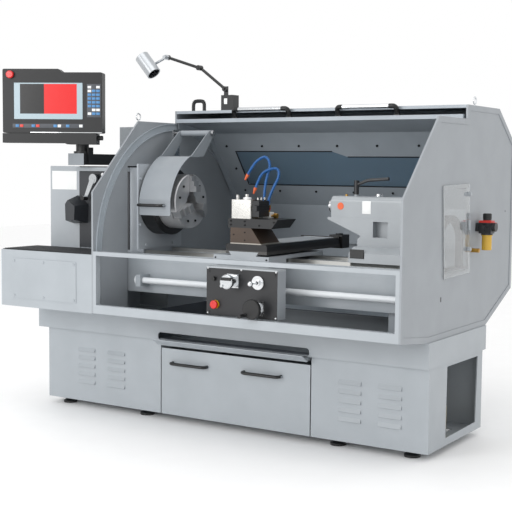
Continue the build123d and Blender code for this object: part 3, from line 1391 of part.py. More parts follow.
# Work light: base box on the roof, two arms on hinges and a ribbed head
with BuildPart() as lamp_base:
    block((lamp_base_at[0] - 37, lamp_base_at[0] + 37), (lamp_base_at[1] - 30, lamp_base_at[1] + 30), (roof_z, roof_z + 80))
    block((lamp_shoulder[0] - 12, lamp_shoulder[0] + 12), (lamp_shoulder[1] + 8 + gap, lamp_shoulder[1] + 16),
          (roof_z + 60, lamp_shoulder[2] + 14))
    rod((lamp_shoulder[0], lamp_shoulder[1] + 16, lamp_shoulder[2]), FORWARD, 6, 30)
lamp_base.part.label = "lamp_base"
export_step(lamp_base.part, "parts/lamp_base.step")


def between(start, end, radius):
    """A straight round bar between two points."""
    run = Vector(*end) - Vector(*start)
    rod(start, tuple(run.normalized()), radius, run.length)


with BuildPart() as lamp_arm_lower:
    between(lamp_shoulder, lamp_elbow, lamp_tube)
    rod((lamp_shoulder[0], lamp_shoulder[1] + 8, lamp_shoulder[2]), FORWARD, 14, 16)
    rod((lamp_elbow[0], lamp_elbow[1] + 8, lamp_elbow[2]), FORWARD, 14, 16)
    rod((lamp_shoulder[0], lamp_shoulder[1] + 9, lamp_shoulder[2]), FORWARD, 6 + running_fit, 18, mode=Mode.SUBTRACT)
    rod((lamp_elbow[0], lamp_elbow[1], lamp_elbow[2]), FORWARD, 6, 26)
lamp_arm_lower.part.label = "lamp_arm_lower"
export_step(lamp_arm_lower.part, "parts/lamp_arm_lower.step")

upper_y = lamp_elbow[1] - 16 - gap
with BuildPart() as lamp_arm_upper:
    between((lamp_elbow[0], upper_y, lamp_elbow[2]), (lamp_wrist[0], upper_y, lamp_wrist[2]), lamp_tube)
    rod((lamp_elbow[0], upper_y + 8, lamp_elbow[2]), FORWARD, 14, 16)
    rod((lamp_elbow[0], upper_y + 9, lamp_elbow[2]), FORWARD, 6 + running_fit, 18, mode=Mode.SUBTRACT)
    rod((lamp_wrist[0], upper_y + 8, lamp_wrist[2]), FORWARD, 14, 16)
    rod((lamp_wrist[0], upper_y, lamp_wrist[2]), FORWARD, 6, 24)
lamp_arm_upper.part.label = "lamp_arm_upper"
export_step(lamp_arm_upper.part, "parts/lamp_arm_upper.step")

head_y = upper_y - 16 - gap
head_way = (Vector(*lamp_mouth) - Vector(*lamp_tail)).normalized()
head_start = Vector(lamp_tail[0], head_y - 40, lamp_tail[2])
head_length = (Vector(*lamp_mouth) - Vector(*lamp_tail)).length
with BuildPart() as lamp_head:
    rod(tuple(head_start), tuple(head_way), 40, head_length)
    rod(tuple(head_start + head_way * 8), tuple(head_way), 34, head_length, mode=Mode.SUBTRACT)
    rod((lamp_wrist[0], head_y + 8, lamp_wrist[2]), FORWARD, 14, 16)
    rod((lamp_wrist[0], head_y - 8, lamp_wrist[2]), FORWARD, 9, 16)
    between((lamp_wrist[0], head_y, lamp_wrist[2]), (lamp_wrist[0] - 80, head_y - 5, lamp_wrist[2] - 36), 7)
    rod((lamp_wrist[0], head_y + 9, lamp_wrist[2]), FORWARD, 6 + running_fit, 17, mode=Mode.SUBTRACT)
lamp_head.part.label = "lamp_head"
export_step(lamp_head.part, "parts/lamp_head.step")
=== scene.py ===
# %% [markdown]
# A turning lathe is mostly folded sheet metal in two pale greys, with a few bright machined parts
# and black fittings that the eye goes to. The solids come in ready made and in place, so the work
# here is their finishes and the small things: screws, seals, keys, hose links and plain labels.

# %% Open the frame
import bpy, bmesh, math
from mathutils import Matrix, Vector


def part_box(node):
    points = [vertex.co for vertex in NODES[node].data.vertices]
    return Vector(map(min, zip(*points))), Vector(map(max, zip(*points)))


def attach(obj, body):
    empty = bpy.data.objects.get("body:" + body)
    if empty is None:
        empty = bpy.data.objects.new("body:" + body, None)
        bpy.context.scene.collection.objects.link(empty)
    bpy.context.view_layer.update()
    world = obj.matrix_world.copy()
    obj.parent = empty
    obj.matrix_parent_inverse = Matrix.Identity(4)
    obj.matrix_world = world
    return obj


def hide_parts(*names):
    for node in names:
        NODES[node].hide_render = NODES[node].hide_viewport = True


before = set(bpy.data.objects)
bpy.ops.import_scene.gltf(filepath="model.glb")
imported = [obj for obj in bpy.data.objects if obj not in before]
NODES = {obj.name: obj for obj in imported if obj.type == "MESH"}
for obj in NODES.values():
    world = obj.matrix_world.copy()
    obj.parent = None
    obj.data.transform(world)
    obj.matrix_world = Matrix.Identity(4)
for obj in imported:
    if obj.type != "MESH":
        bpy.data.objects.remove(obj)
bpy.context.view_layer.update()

# %% [markdown]
# Every finish is a small network of shader nodes. One function adds a node and feeds its inputs,
# one turns a paint chart's hex value into the linear light that the renderer counts in.

# %% Node and colour helpers
MM = 0.001
# A colour mix keeps its sockets for colours at these places, behind those for plain numbers
MIX_FACTOR, MIX_FIRST, MIX_SECOND, MIX_COLOUR = 0, 6, 7, 2


def linear(code):
    """A six figure sRGB hex value as linear red, green, blue and a full alpha."""
    parts = [int(code[i:i + 2], 16) / 255 for i in (1, 3, 5)]
    return tuple(c / 12.92 if c <= 0.04045 else ((c + 0.055) / 1.055) ** 2.4 for c in parts) + (1.0,)


def feed(tree, socket, value):
    """Joins an input to another node's socket, or gives it a value."""
    if isinstance(value, bpy.types.NodeSocket):
        tree.links.new(value, socket)
    else:
        socket.default_value = value


def add_node(tree, kind, inputs=(), **settings):
    """A node with its settings and inputs."""
    made = tree.nodes.new(kind)
    for key, value in settings.items():
        setattr(made, key, value)
    for key, value in dict(inputs).items():
        feed(tree, made.inputs[key], value)
    return made


print("mid grey in linear light:", round(linear("#808080")[0], 3))

# %% [markdown]
# Some solids carry several finishes: a grey box with a black face, a steel post with a black
# holder. The paint line is found from the place in millimetres, either inside a box or inside a
# short cylinder, and every such zone is mixed over the finish below it.

# %% Zones by place
ACROSS = {"X": (0, 1, 1), "Y": (1, 0, 1), "Z": (1, 1, 0)}


def box_zone(tree, place, low, high):
    """1 inside the box from low to high, in mm, and 0 outside."""
    middle = [(a + b) / 2 * MM for a, b in zip(low, high)]
    half = [(b - a) / 2 * MM for a, b in zip(low, high)]
    offset = add_node(tree, "ShaderNodeVectorMath", {0: place, 1: middle}, operation="SUBTRACT")
    reach = add_node(tree, "ShaderNodeVectorMath", {0: offset.outputs[0]}, operation="ABSOLUTE")
    beyond = add_node(tree, "ShaderNodeVectorMath", {0: reach.outputs[0], 1: half}, operation="SUBTRACT")
    x, y, z = add_node(tree, "ShaderNodeSeparateXYZ", {0: beyond.outputs[0]}).outputs
    worst = add_node(tree, "ShaderNodeMath", {0: x, 1: y}, operation="MAXIMUM")
    worst = add_node(tree, "ShaderNodeMath", {0: worst.outputs[0], 1: z}, operation="MAXIMUM")
    return add_node(tree, "ShaderNodeMath", {0: worst.outputs[0], 1: 0.0}, operation="LESS_THAN").outputs[0]


def disc_zone(tree, place, centre, axis, radius, reach):
    """1 inside a cylinder of that radius about the axis, as far as reach each way, in mm."""
    middle = [c * MM for c in centre]
    offset = add_node(tree, "ShaderNodeVectorMath", {0: place, 1: middle}, operation="SUBTRACT").outputs[0]
    flat = add_node(tree, "ShaderNodeVectorMath", {0: offset, 1: ACROSS[axis]}, operation="MULTIPLY")
    away = add_node(tree, "ShaderNodeVectorMath", {0: flat.outputs[0]}, operation="LENGTH")
    near = add_node(tree, "ShaderNodeMath", {0: away.outputs["Value"], 1: radius * MM}, operation="LESS_THAN")
    along = add_node(tree, "ShaderNodeSeparateXYZ", {0: offset}).outputs["XYZ".index(axis)]
    depth = add_node(tree, "ShaderNodeMath", {0: along}, operation="ABSOLUTE")
    within = add_node(tree, "ShaderNodeMath", {0: depth.outputs[0], 1: reach * MM}, operation="LESS_THAN")
    both = {0: near.outputs[0], 1: within.outputs[0]}
    return add_node(tree, "ShaderNodeMath", both, operation="MULTIPLY").outputs[0]


ZONES = {"box": box_zone, "disc": disc_zone}
print("zones:", ", ".join(ZONES))

# %% [markdown]
# One recipe makes all the rigid finishes. A real surface is never one number: powder coat has an
# orange peel of 1 to 2 mm, a casting a coarser skin, ground steel fine lines along its travel. A
# slow cloud of noise shifts the tone a little, as dust and handling do, a finer one moves the
# roughness and raises the grain. Seen from five metres the grain only softens the highlights; close
# to, it can be made out.

# %% The finish recipe
# One patch of tone is 160 mm across; cut lines run on for about thirty grains; the roughness
# swings by 0.05 each way; the peel is a quarter as deep as its grain is wide. Noise hardly ever
# leaves 0.3 to 0.7, so that part of it is spread over the whole swing.
CLOUD = 160
DRAWN_OUT = 0.03
ROUGH_SPREAD = 0.05
PEEL_DEPTH = 0.25
NOISE_LOW, NOISE_HIGH = 0.3, 0.7


def blank(name):
    """A new material with its node tree, its shader and its place in object coordinates."""
    made = bpy.data.materials.new(name)
    made.use_nodes = True
    tree = made.node_tree
    place = add_node(tree, "ShaderNodeTexCoord").outputs["Object"]
    return made, tree, tree.nodes["Principled BSDF"], place


def finish(name, code, shade, rough, metal=0.0, grain=1.5, relief=0.05, lines=None, zones=(), coat=0.0):
    """A surface whose colour drifts from code to shade; grain is in mm, lines names the axis of its cut."""
    made, tree, shader, place = blank(name)
    cloud = add_node(tree, "ShaderNodeTexNoise", {"Vector": place, "Scale": 1 / (CLOUD * MM), "Detail": 3.0})
    stretch = [DRAWN_OUT if axis == lines else 1.0 for axis in "XYZ"]
    drawn = add_node(tree, "ShaderNodeVectorMath", {0: place, 1: stretch}, operation="MULTIPLY")
    fine = {"Vector": drawn.outputs[0], "Scale": 1 / (grain * MM), "Detail": 2.0}
    peel = add_node(tree, "ShaderNodeTexNoise", fine).outputs[0]
    patches = {"Value": cloud.outputs[0], "From Min": NOISE_LOW, "From Max": NOISE_HIGH}
    tone = add_node(tree, "ShaderNodeMapRange", patches)
    paints = {MIX_FACTOR: tone.outputs[0], MIX_FIRST: linear(code), MIX_SECOND: linear(shade)}
    colour = add_node(tree, "ShaderNodeMix", paints, data_type="RGBA").outputs[MIX_COLOUR]
    spread = {"Value": peel, "From Min": NOISE_LOW, "From Max": NOISE_HIGH,
              "To Min": rough - ROUGH_SPREAD, "To Max": rough + ROUGH_SPREAD}
    rough = add_node(tree, "ShaderNodeMapRange", spread).outputs[0]
    for kind, *where, paint, zone_rough, zone_metal in zones:
        mask = ZONES[kind](tree, place, *where)
        paints = {MIX_FACTOR: mask, MIX_FIRST: colour, MIX_SECOND: linear(paint)}
        colour = add_node(tree, "ShaderNodeMix", paints, data_type="RGBA").outputs[MIX_COLOUR]
        ends = {"Value": mask, "To Min": rough, "To Max": zone_rough}
        rough = add_node(tree, "ShaderNodeMapRange", ends).outputs[0]
        ends = {"Value": mask, "To Min": metal, "To Max": zone_metal}
        metal = add_node(tree, "ShaderNodeMapRange", ends).outputs[0]
    depth = {"Height": peel, "Strength": relief, "Distance": grain * MM * PEEL_DEPTH}
    bump = add_node(tree, "ShaderNodeBump", depth).outputs[0]
    surface = {"Base Color": colour, "Roughness": rough, "Metallic": metal, "Normal": bump,
               "Coat Weight": coat}
    for key, value in surface.items():
        feed(tree, shader.inputs[key], value)
    return made


def dress(material, *names):
    """Gives a finish to solids of the frame."""
    for name in names:
        slots = NODES[name].data.materials
        slots.clear()
        slots.append(material)


BLACK = ("#0D0E0F", 0.42, 0.0)
BRIGHT = ("#D6D8DA", 0.22, 1.0)
BRASS = ("#C79A4B", 0.3, 1.0)
ORANGE = ("#DE5A1E", 0.4, 0.0)
POWDER = {"grain": 1.6, "relief": 0.06, "coat": 0.15}
print("recipe ready")

# %% [markdown]
# The cabinets are steel sheet with a semi gloss powder coat. The front frame catches more light
# than the big faces, so it is painted a slightly lighter tone: painted light. The floor of the pan
# and the back of the skirt lie in the machine's shadow: painted shade, a darker grey set by place.

# %% Powder coated sheet
# Painted shade: the dark grey set on the pan floor and the back of the skirt, where shadow falls
PAINTED_SHADE_GREY = ("#5A5F66", 0.5, 0.0)
# Powder coat over sheet steel: an even pale grey with a soft sheen
pale_coat = finish("powder_coat_pale", "#A3A9AE", "#9DA3A8", 0.4, **POWDER)
# Side panels: darker as painted shade, turned from the main light; a black latch slot and a black lock
side_coat_painted_shade = finish("powder_coat_side", "#959A9F", "#8F9499", 0.42, grain=1.6, relief=0.06, coat=0.12, zones=(
    ("box", (1112, -206, 716), (1122, -194, 738), *BLACK),
    ("disc", (1118, 619, 1105), "X", 5, 9, *BLACK)))
# Rear cover and guard shell: coolant mist has taken some of the sheen
inner_coat = finish("powder_coat_inside", "#A3ABB2", "#9AA2A9", 0.44, grain=1.6, relief=0.06, coat=0.1)
# Front frame and side door rim: the same coat with painted light, a little lighter than the big faces
frame_coat = finish("powder_coat_frame", "#A6ACB1", "#A0A6AB", 0.38, grain=1.6, relief=0.05, coat=0.15)
# Pan and skirt: the same coats, with painted shade where the machine's shadow falls on them
pan_coat_painted_shade = finish("pan_coat_painted_shade", "#A3A9AE", "#9DA3A8", 0.4, **POWDER, zones=(
    ("box", (-565, -337, 429), (1104, 361, 546), *PAINTED_SHADE_GREY),))
# Front frame: the lighter frame coat as painted light, with painted shade on the back of its skirt
frame_painted_light_and_shade = finish("frame_coat_dark_inside", "#A6ACB1", "#A0A6AB", 0.38,
                      grain=1.6, relief=0.05, coat=0.15, zones=(
                          ("box", (-568, -597, 540), (1108, -310, 612), *PAINTED_SHADE_GREY),))
dress(pale_coat, "pedestal_left", "pedestal_right", "left_box", "electrical_cabinet", "chip_tray")
dress(pale_coat, "side_door")
dress(pan_coat_painted_shade, "chip_pan")
dress(frame_painted_light_and_shade, "front_frame")
dress(side_coat_painted_shade, "side_panel_left", "side_panel_right")
dress(inner_coat, "rear_cover", "hood_tracks", "hood_shell")
print("sheet metal coated")

# %% [markdown]
# The headstock, bed and tailstock are iron castings under a thicker, slightly wavy enamel. The
# bed's ways are scraped bare and the tailstock's round boss is an orange disc.

# %% Enamelled castings
# Brushed enamel over cast iron: waves some 5 mm wide that bend the highlight
cast_enamel = finish("cast_enamel", "#A9AFB5", "#A0A6AC", 0.36, grain=5.0, relief=0.1, coat=0.2)
# The bed: enamel on its flanks, bare scraped iron on its ways
bed_enamel = finish("bed_enamel", "#A2A8AD", "#989FA5", 0.4, grain=4.0, relief=0.1, coat=0.15, zones=(
    ("box", (-480, -352, 868.5), (1090, -48, 890), "#A9A9A6", 0.3, 1.0),))
# The tailstock: an orange disc, a bright clamp nut, a brass oiler and a black plate on its base
tail_enamel = finish("tail_enamel", "#9FA4A8", "#969B9F", 0.34, grain=5.0, relief=0.1, coat=0.2, zones=(
    ("disc", (628, -260, 1140), "Y", 17, 3, *ORANGE),
    ("disc", (800, -200, 1195), "Z", 19, 7, *BRIGHT),
    ("disc", (645, -230, 1193), "Z", 8, 5.5, *BRASS),
    ("box", (727, -356, 905), (801, -345, 949), *BLACK)))
# The end cover is sheet again, a little paler than the casting beside it
end_coat = finish("end_cover_coat", "#A9AEB3", "#A2A8AD", 0.4, grain=1.6, relief=0.05, coat=0.15)
dress(cast_enamel, "headstock_casting")
dress(bed_enamel, "bed")
dress(tail_enamel, "tailstock_body")
dress(end_coat, "headstock_end_cover")
# The saddle: a smoother casting under the same enamel
saddle_enamel = finish("saddle_enamel", "#A6ABB0", "#9CA2A7", 0.36, grain=4.0, relief=0.08, coat=0.2)
dress(saddle_enamel, "saddle")
# The chuck guard: bent sheet in a deeper grey, with a black bow handle
guard_coat = finish("guard_coat", "#8F959A", "#878D93", 0.36, grain=1.6, relief=0.05, coat=0.2, zones=(
    ("box", (-470, -440, 1105), (-300, -393.5, 1137), *BLACK),))
dress(guard_coat, "chuck_guard")
print("castings enamelled")

# %% [markdown]
# Black fittings are of three kinds: satin paint on steel, moulded plastic with a fine spark
# texture, and ribbed rubber on top of the left box. The tank's two handles and the lubricator are
# black too, with the pale sheet or the amber reservoir marked off by place.

# %% Black fittings
# Satin paint on steel: black with a broad, weak highlight
satin_black = finish("satin_black_paint", "#0E0F10", "#131416", 0.36, grain=1.4, relief=0.06, coat=0.1)
# Moulded nylon: no clear highlight. Its spark texture is drawn coarser than real, so that it shows
moulded_black = finish("moulded_black", "#0D0E0F", "#131415", 0.48, grain=0.9, relief=0.12)
# Rubber matting: dull and a little dusty
ribbed_rubber = finish("ribbed_rubber", "#232528", "#2C2E31", 0.72, grain=1.2, relief=0.2)
# The headstock panel: charcoal paint under a grey top, with a white push button
front_charcoal = finish("charcoal_panel", "#303338", "#2A2D31", 0.42,
                        grain=1.4, relief=0.08, coat=0.1, zones=(
    ("box", (-925, -360, 1289.5), (-575, -300, 1312), "#9DA3A8", 0.4, 0.0),
    ("disc", (-749, -340, 1272), "Y", 9, 40, "#E9EAEA", 0.4, 0.0)))
# The console: textured paint on a cast case, nearly black
console_black = finish("console_black", "#151618", "#101113", 0.46, grain=1.2, relief=0.1)
dress(satin_black, "levelling_feet", "spindle", "lamp_arm_lower", "lamp_arm_upper", "lamp_base")
dress(moulded_black, "cable_chain", "handwheel_x", "regulator_knob", "conduit")
dress(ribbed_rubber, "box_mat")
dress(front_charcoal, "headstock_front_panel")
dress(console_black, "console_body")
# The arm: black paint, a bare clamp plate and a bright pivot
arm_black = finish("console_arm_black", "#111214", "#17181A", 0.42, grain=1.4, relief=0.08, zones=(
    ("box", (-912, -432, 1320), (-804, -426, 1382), "#8C9196", 0.4, 0.6),
    ("disc", (-857.5, -378, 1400), "Z", 24, 28, *BRIGHT)))
dress(arm_black, "console_arm")
# The tank front: pale coat, with its two bow handles in black
tank_coat = finish("tank_front_coat", "#A3A9AE", "#9DA3A8", 0.4, **POWDER, zones=(
    ("box", (-310, -380, 286), (-80, -316.5, 330), *BLACK),
    ("box", (126, -380, 286), (356, -316.5, 330), *BLACK)))
dress(tank_coat, "coolant_tank")
# The lubricator: black body, an amber reservoir below and a yellow cap on top
lube_black = finish("lubricator_plastic", "#1E1F22", "#27282B", 0.4, grain=1.0, relief=0.08, zones=(
    ("box", (900, -200, 60), (1112, 300, 175), "#C9B98A", 0.18, 0.0),
    ("box", (900, -200, 365), (1112, 300, 420), "#E3B72B", 0.4, 0.0)))
dress(lube_black, "lube_unit")
print("black fittings done")

# %% [markdown]
# Machined metal shows how it was cut: the chuck and the jaws carry fine lines along one axis.
# Real tool marks lie a tenth of a millimetre apart; here they are drawn at 1 to 1.6 mm, as coarse
# as they need to be to show in a near view. Chrome is smooth enough to mirror the room. The drive
# screw runs in a pale enamelled tube.

# %% Machined metal
# Ground steel: bright, with fine lines along its travel that break up the highlight
ground_steel = finish("ground_steel", "#B9BABB", "#A7A8AA", 0.26,
                      metal=1.0, grain=1.2, relief=0.05, lines="X")
# Turned steel under a film of oil: greyer and softer than bare metal
turned_steel = finish("turned_steel", "#C9CACB", "#B4B5B7", 0.36,
                      metal=0.7, grain=1.6, relief=0.08, lines="Z")
# Hardened and ground jaws: darker than the chuck, with lines along the spindle
jaw_steel = finish("jaw_steel", "#B0B1B3", "#9C9EA1", 0.36, metal=0.7, grain=1.4, relief=0.1, lines="X")
# Chrome plate: almost a mirror
bright_chrome = finish("bright_chrome", "#DFE1E3", "#D2D5D8", 0.1, metal=1.0, grain=3.0, relief=0.01)
dress(turned_steel, "chuck_body")
dress(jaw_steel, "chuck_jaw_1", "chuck_jaw_2", "chuck_jaw_3")
dress(ground_steel, "quill", "guard_bracket")
# Enamelled tube: the palest grey on the machine
cover_tube = finish("screw_cover_enamel", "#D9DDE0", "#D0D4D8", 0.38, grain=2.0, relief=0.05)
dress(cover_tube, "drive_screw")
dress(bright_chrome, "eye_bolts", "tailstock_wheel", "joystick")
# A polished lever with a black ball at its end
lever_metal = finish("lever_metal", "#C7CACC", "#B8BBBE", 0.25, metal=1.0, grain=1.2, relief=0.05, zones=(
    ("disc", (-851, -380, 1143), "Y", 17, 60, *BLACK),))
dress(lever_metal, "speed_lever")
handle_ends = [("box", (x0, 0, 1570), (x1, 120, 1640), *BLACK)
               for x0, x1 in ((-200, -143), (119, 175), (420, 474), (727, 780))]
# Chromed tube handles held in black plastic feet
handle_chrome = finish("guard_handle_chrome", "#DDDFE1", "#CFD2D5", 0.12,
                       metal=1.0, grain=2.0, relief=0.02, zones=handle_ends)
dress(handle_chrome, "hood_handles")
# Oiled black oxide on the lever: dark, but it still shines
quill_lever_black = finish("quill_lever_black", "#1B1C1E", "#26272A", 0.32, grain=1.2, relief=0.05)
dress(quill_lever_black, "quill_lever")
# Turned aluminium wheel: bright, with fine lines across its rim, and a black crank knob
wheel_silver = finish("small_wheel_silver", "#CDD0D2", "#BEC1C4", 0.24,
                      metal=1.0, grain=0.9, relief=0.04, lines="Y", zones=(
                          ("box", (222, -672, 797), (280, -650, 812), *BLACK),))
dress(wheel_silver, "handwheel_z")
print("machined metal done")

# %% [markdown]
# The cross slide and its block carry several finishes at once: dark oiled ways, a motor with a
# blue cap, a brown cast riser, a black plate and a bright square post with a black holder.

# %% Slide and tool stack
# Oiled cast iron: nearly black and glossy, with bare ways and a blue motor cap
slide_metal = finish("slide_dark_steel", "#151617", "#1E1E1F", 0.34, metal=0.2, grain=1.6, relief=0.1, zones=(
    ("box", (150, -512, 901), (380, 212, 926), "#4B4A49", 0.4, 0.6),
    ("box", (170, -300, 953.5), (345, 215, 958.5), "#B9BEC2", 0.4, 0.2),
    ("disc", (351, 256, 1015), "Z", 40, 14, "#1E77B8", 0.4, 0.0)))
# Raw cast iron gone brown with oil, black above and scraped bare at its foot
riser_iron = finish("riser_iron", "#4A3B30", "#3B3028", 0.46, metal=0.3, grain=2.5, relief=0.2, zones=(
    ("box", (100, -520, 1033), (500, -320, 1080), "#1A1B1D", 0.42, 0.2),
    ("box", (100, -520, 956), (500, -320, 961.5), "#A8A49C", 0.4, 0.6)))
# Ground tool steel with a blackened tool holder and a white ring under the clamp nut
post_steel = finish("tool_post_steel", "#C6C5C1", "#B2B1AE", 0.24,
                    metal=1.0, grain=1.4, relief=0.06, lines="X", zones=(
    ("box", (277.5, -500, 1070), (330, -370, 1165), "#28292B", 0.4, 0.4),
    ("disc", (221, -435, 1171), "Z", 21, 5.4, "#EDEEEE", 0.35, 0.2)))
# White painted valve block, brass fittings, a red tap handle
manifold_white = finish("manifold_white", "#E4E5E3", "#D6D8D6", 0.36, grain=1.6, relief=0.05, zones=(
    ("box", (200, -400, 1105.2), (340, -320, 1160), *BRASS),
    ("box", (309.2, -400, 1060), (360, -320, 1105), *BRASS),
    ("box", (220, -400, 1113), (310, -356.5, 1125), "#C8281F", 0.4, 0.0)))
# Charcoal front on a grey box, bright bezels, a yellow ring under the stop button
control_paint = finish("control_panel_charcoal", "#1F2023", "#1A1B1E", 0.44, grain=1.3, relief=0.08, zones=(
    ("box", (90, -589.2, 620), (495, -500, 860), "#A6ABB0", 0.38, 0.0),
    # Painted light: the top ledge is the box's grey, painted lighter where it faces up to the lamps
    ("box", (90, -600, 845), (495, -500, 860), "#B4B9BD", 0.38, 0.0),
    ("box", (214, -660, 754), (290, -591, 830), *BRIGHT),
    ("disc", (385, -600, 790), "Y", 44, 9, *BRIGHT),
    ("box", (345, -660, 630), (432, -591, 718), *BRIGHT),
    ("disc", (149, -600, 674), "Y", 26, 9.5, "#E8B81E", 0.4, 0.0),
    ("disc", (140, -600, 795), "Y", 18, 9.5, *BLACK)))
dress(slide_metal, "cross_slide")
dress(riser_iron, "tool_block")
dress(post_steel, "tool_post")
dress(manifold_white, "coolant_manifold")
dress(control_paint, "control_box")
# Glossy moulded plastic: a clear highlight on the mushroom heads
red_plastic = finish("red_mushroom_plastic", "#CF1512", "#C2100E", 0.28, grain=3.0, relief=0.02, coat=0.4)
dress(red_plastic, "apron_stop", "console_stop")
print("slide and tool stack done")

# %% [markdown]
# The air unit has a black body, a red ring, an amber bowl and a brass elbow. The work light is a
# plain aluminium can on black arms.

# %% Air unit and work light
# Black painted zinc, a red ring, an amber bowl and a brass elbow
air_black = finish("air_unit_black", "#1B1C1E", "#242528", 0.38, grain=1.2, relief=0.06, zones=(
    ("box", (1120, 205, 1062), (1212, 268, 1074), "#C8322B", 0.4, 0.0),
    ("box", (1130, 205, 925), (1212, 262, 1003), "#C9A23C", 0.15, 0.0),
    ("box", (1117, 130, 912), (1160, 200, 950), *BRASS)))
# Drawn aluminium can: bright, with fine lines along its height
lamp_can = finish("lamp_can_aluminium", "#C4C7CA", "#B2B6BA", 0.3, metal=1.0, lines="Z")
dress(air_black, "air_unit")
dress(lamp_can, "lamp_head")
print("air unit and lamp done")

# %% [markdown]
# The guard's window is a tinted polycarbonate sheet 4 mm thick: a smooth dielectric with an index
# of 1.58 that lets light through and takes some red out of it, under a faint smear of wiping.

# %% Clear sheet
def clear_sheet(name, code, clearness, index, smear, detail, roughest):
    """A see-through sheet; its haze comes in patches of smear mm."""
    made, tree, shader, place = blank(name)
    patches = {"Vector": place, "Scale": 1 / (smear * MM), "Detail": detail}
    patches = add_node(tree, "ShaderNodeTexNoise", patches).outputs[0]
    ends = {"Value": patches, "To Min": 0.02, "To Max": roughest}
    haze = add_node(tree, "ShaderNodeMapRange", ends).outputs[0]
    surface = {"Base Color": linear(code), "Roughness": haze, "Transmission Weight": clearness, "IOR": index}
    for key, value in surface.items():
        feed(tree, shader.inputs[key], value)
    return made


dress(clear_sheet("polycarbonate_tint", "#9DB9CE", 0.62, 1.58, 90, 3.0, 0.07), "hood_window")
print("pane tinted")

# %% [markdown]
# The console's screen is dark glass over a lit picture. The picture is only a pale border with a
# black and a red field in it, told apart by how far across and up a point lies.

# %% Lit screen
CONSOLE_AT = Vector((-930, -530, 1652))
CONSOLE_TURN = math.radians(27.2)
console_right = Vector((math.cos(CONSOLE_TURN), math.sin(CONSOLE_TURN), 0))
console_out = Vector((math.sin(CONSOLE_TURN), -math.cos(CONSOLE_TURN), 0))
PICTURE = (((-205, 161), (-95, 95), "#9FB0B8"), ((-172, -44), (-66, 88), "#050506"),
           ((-44, 130), (-66, 88), "#D00F10"))
screen, tree, shader, place = blank("screen_glass_lit")
sideways = {0: place, 1: tuple(console_right)}
across = add_node(tree, "ShaderNodeVectorMath", sideways, operation="DOT_PRODUCT").outputs["Value"]
upward = add_node(tree, "ShaderNodeSeparateXYZ", {0: place}).outputs[2]
centre_across = CONSOLE_AT.dot(console_right)
picture = linear("#0B0C0E")
for width, height, paint in PICTURE:
    inside = 1.0
    for value, centre, limits in ((across, centre_across, width), (upward, CONSOLE_AT.z, height)):
        for limit, side in zip(limits, ("GREATER_THAN", "LESS_THAN")):
            mask = {0: value, 1: (centre + limit) * MM}
            mask = add_node(tree, "ShaderNodeMath", mask, operation=side).outputs[0]
            inside = add_node(tree, "ShaderNodeMath", {0: inside, 1: mask}, operation="MULTIPLY").outputs[0]
    paints = {MIX_FACTOR: inside, MIX_FIRST: picture, MIX_SECOND: linear(paint)}
    picture = add_node(tree, "ShaderNodeMix", paints, data_type="RGBA").outputs[MIX_COLOUR]
for key, value in {"Base Color": picture, "Emission Color": picture,
                   "Emission Strength": 0.05, "Roughness": 0.25}.items():
    feed(tree, shader.inputs[key], value)
dress(screen, "console_screen")
print("screen lit")

# %% [markdown]
# New pieces start as bmesh shapes. Four helpers are enough: a block with softened edges, a turned
# pin, a socket screw, and one that makes the mesh an object, gives it its finish and hangs it on
# the body that carries it.

# %% Piece helpers
SCREW_SIDES = 18
SHARP_FROM = 35
NEAR = 1e-5


def soft_block(bm, low, high, edge=0.8, turn=None):
    """A block from low to high in mm; turn is a matrix that places it, for blocks on a sloping face."""
    middle = Vector([(a + b) / 2 for a, b in zip(low, high)]) * MM
    size = [abs(b - a) * MM for a, b in zip(low, high)]
    made = bmesh.ops.create_cube(bm, size=1.0)["verts"]
    bmesh.ops.scale(bm, vec=size, verts=made)
    bmesh.ops.translate(bm, vec=middle, verts=made)
    edges = list({e for v in made for e in v.link_edges})
    made = bmesh.ops.bevel(bm, geom=edges, offset=min(edge * MM, min(size) * 0.4), offset_type="OFFSET",
                           affect="EDGES", segments=2, profile=0.5, material=-1)["verts"]
    made = list({v for f in {f for v in made for f in v.link_faces} for v in f.verts})
    if turn is not None:
        bmesh.ops.transform(bm, matrix=turn, verts=made)


def pin(bm, foot, way, radius, length, sides=20, tip=None, edge=0.0):
    """A round pin from its foot, in mm, along way; tip is the radius at its far end."""
    way = Vector(way).normalized()
    tip = radius if tip is None else tip
    middle = (Vector(foot) + way * length / 2) * MM
    turn = Matrix.Translation(middle) @ Vector((0, 0, 1)).rotation_difference(way).to_matrix().to_4x4()
    made = bmesh.ops.create_cone(bm, cap_ends=True, segments=sides, radius1=radius * MM,
                                 radius2=tip * MM, depth=length * MM, matrix=turn)["verts"]
    if edge:
        far = [e for e in {e for v in made for e in v.link_edges}
               if all((v.co - middle).dot(way) > length * MM * 0.4 for v in e.verts)]
        bmesh.ops.bevel(bm, geom=far, offset=edge * MM, offset_type="OFFSET", affect="EDGES",
                        segments=2, profile=0.5, material=-1)


def cap_screw(bm, foot, way, radius):
    """A socket head screw: a short turned head with a sunk seat for the key."""
    way = Vector(way).normalized()
    head = radius * 0.8
    pin(bm, foot, way, radius, head, sides=SCREW_SIDES)
    crown = (Vector(foot) + way * head) * MM
    top = [face for face in bm.faces
           if len(face.verts) == SCREW_SIDES and (face.calc_center_median() - crown).length < NEAR]
    bmesh.ops.inset_region(bm, faces=top, thickness=radius * 0.42 * MM, depth=0.0)
    bmesh.ops.translate(bm, vec=way * -head * 0.6 * MM, verts=list({v for f in top for v in f.verts}))


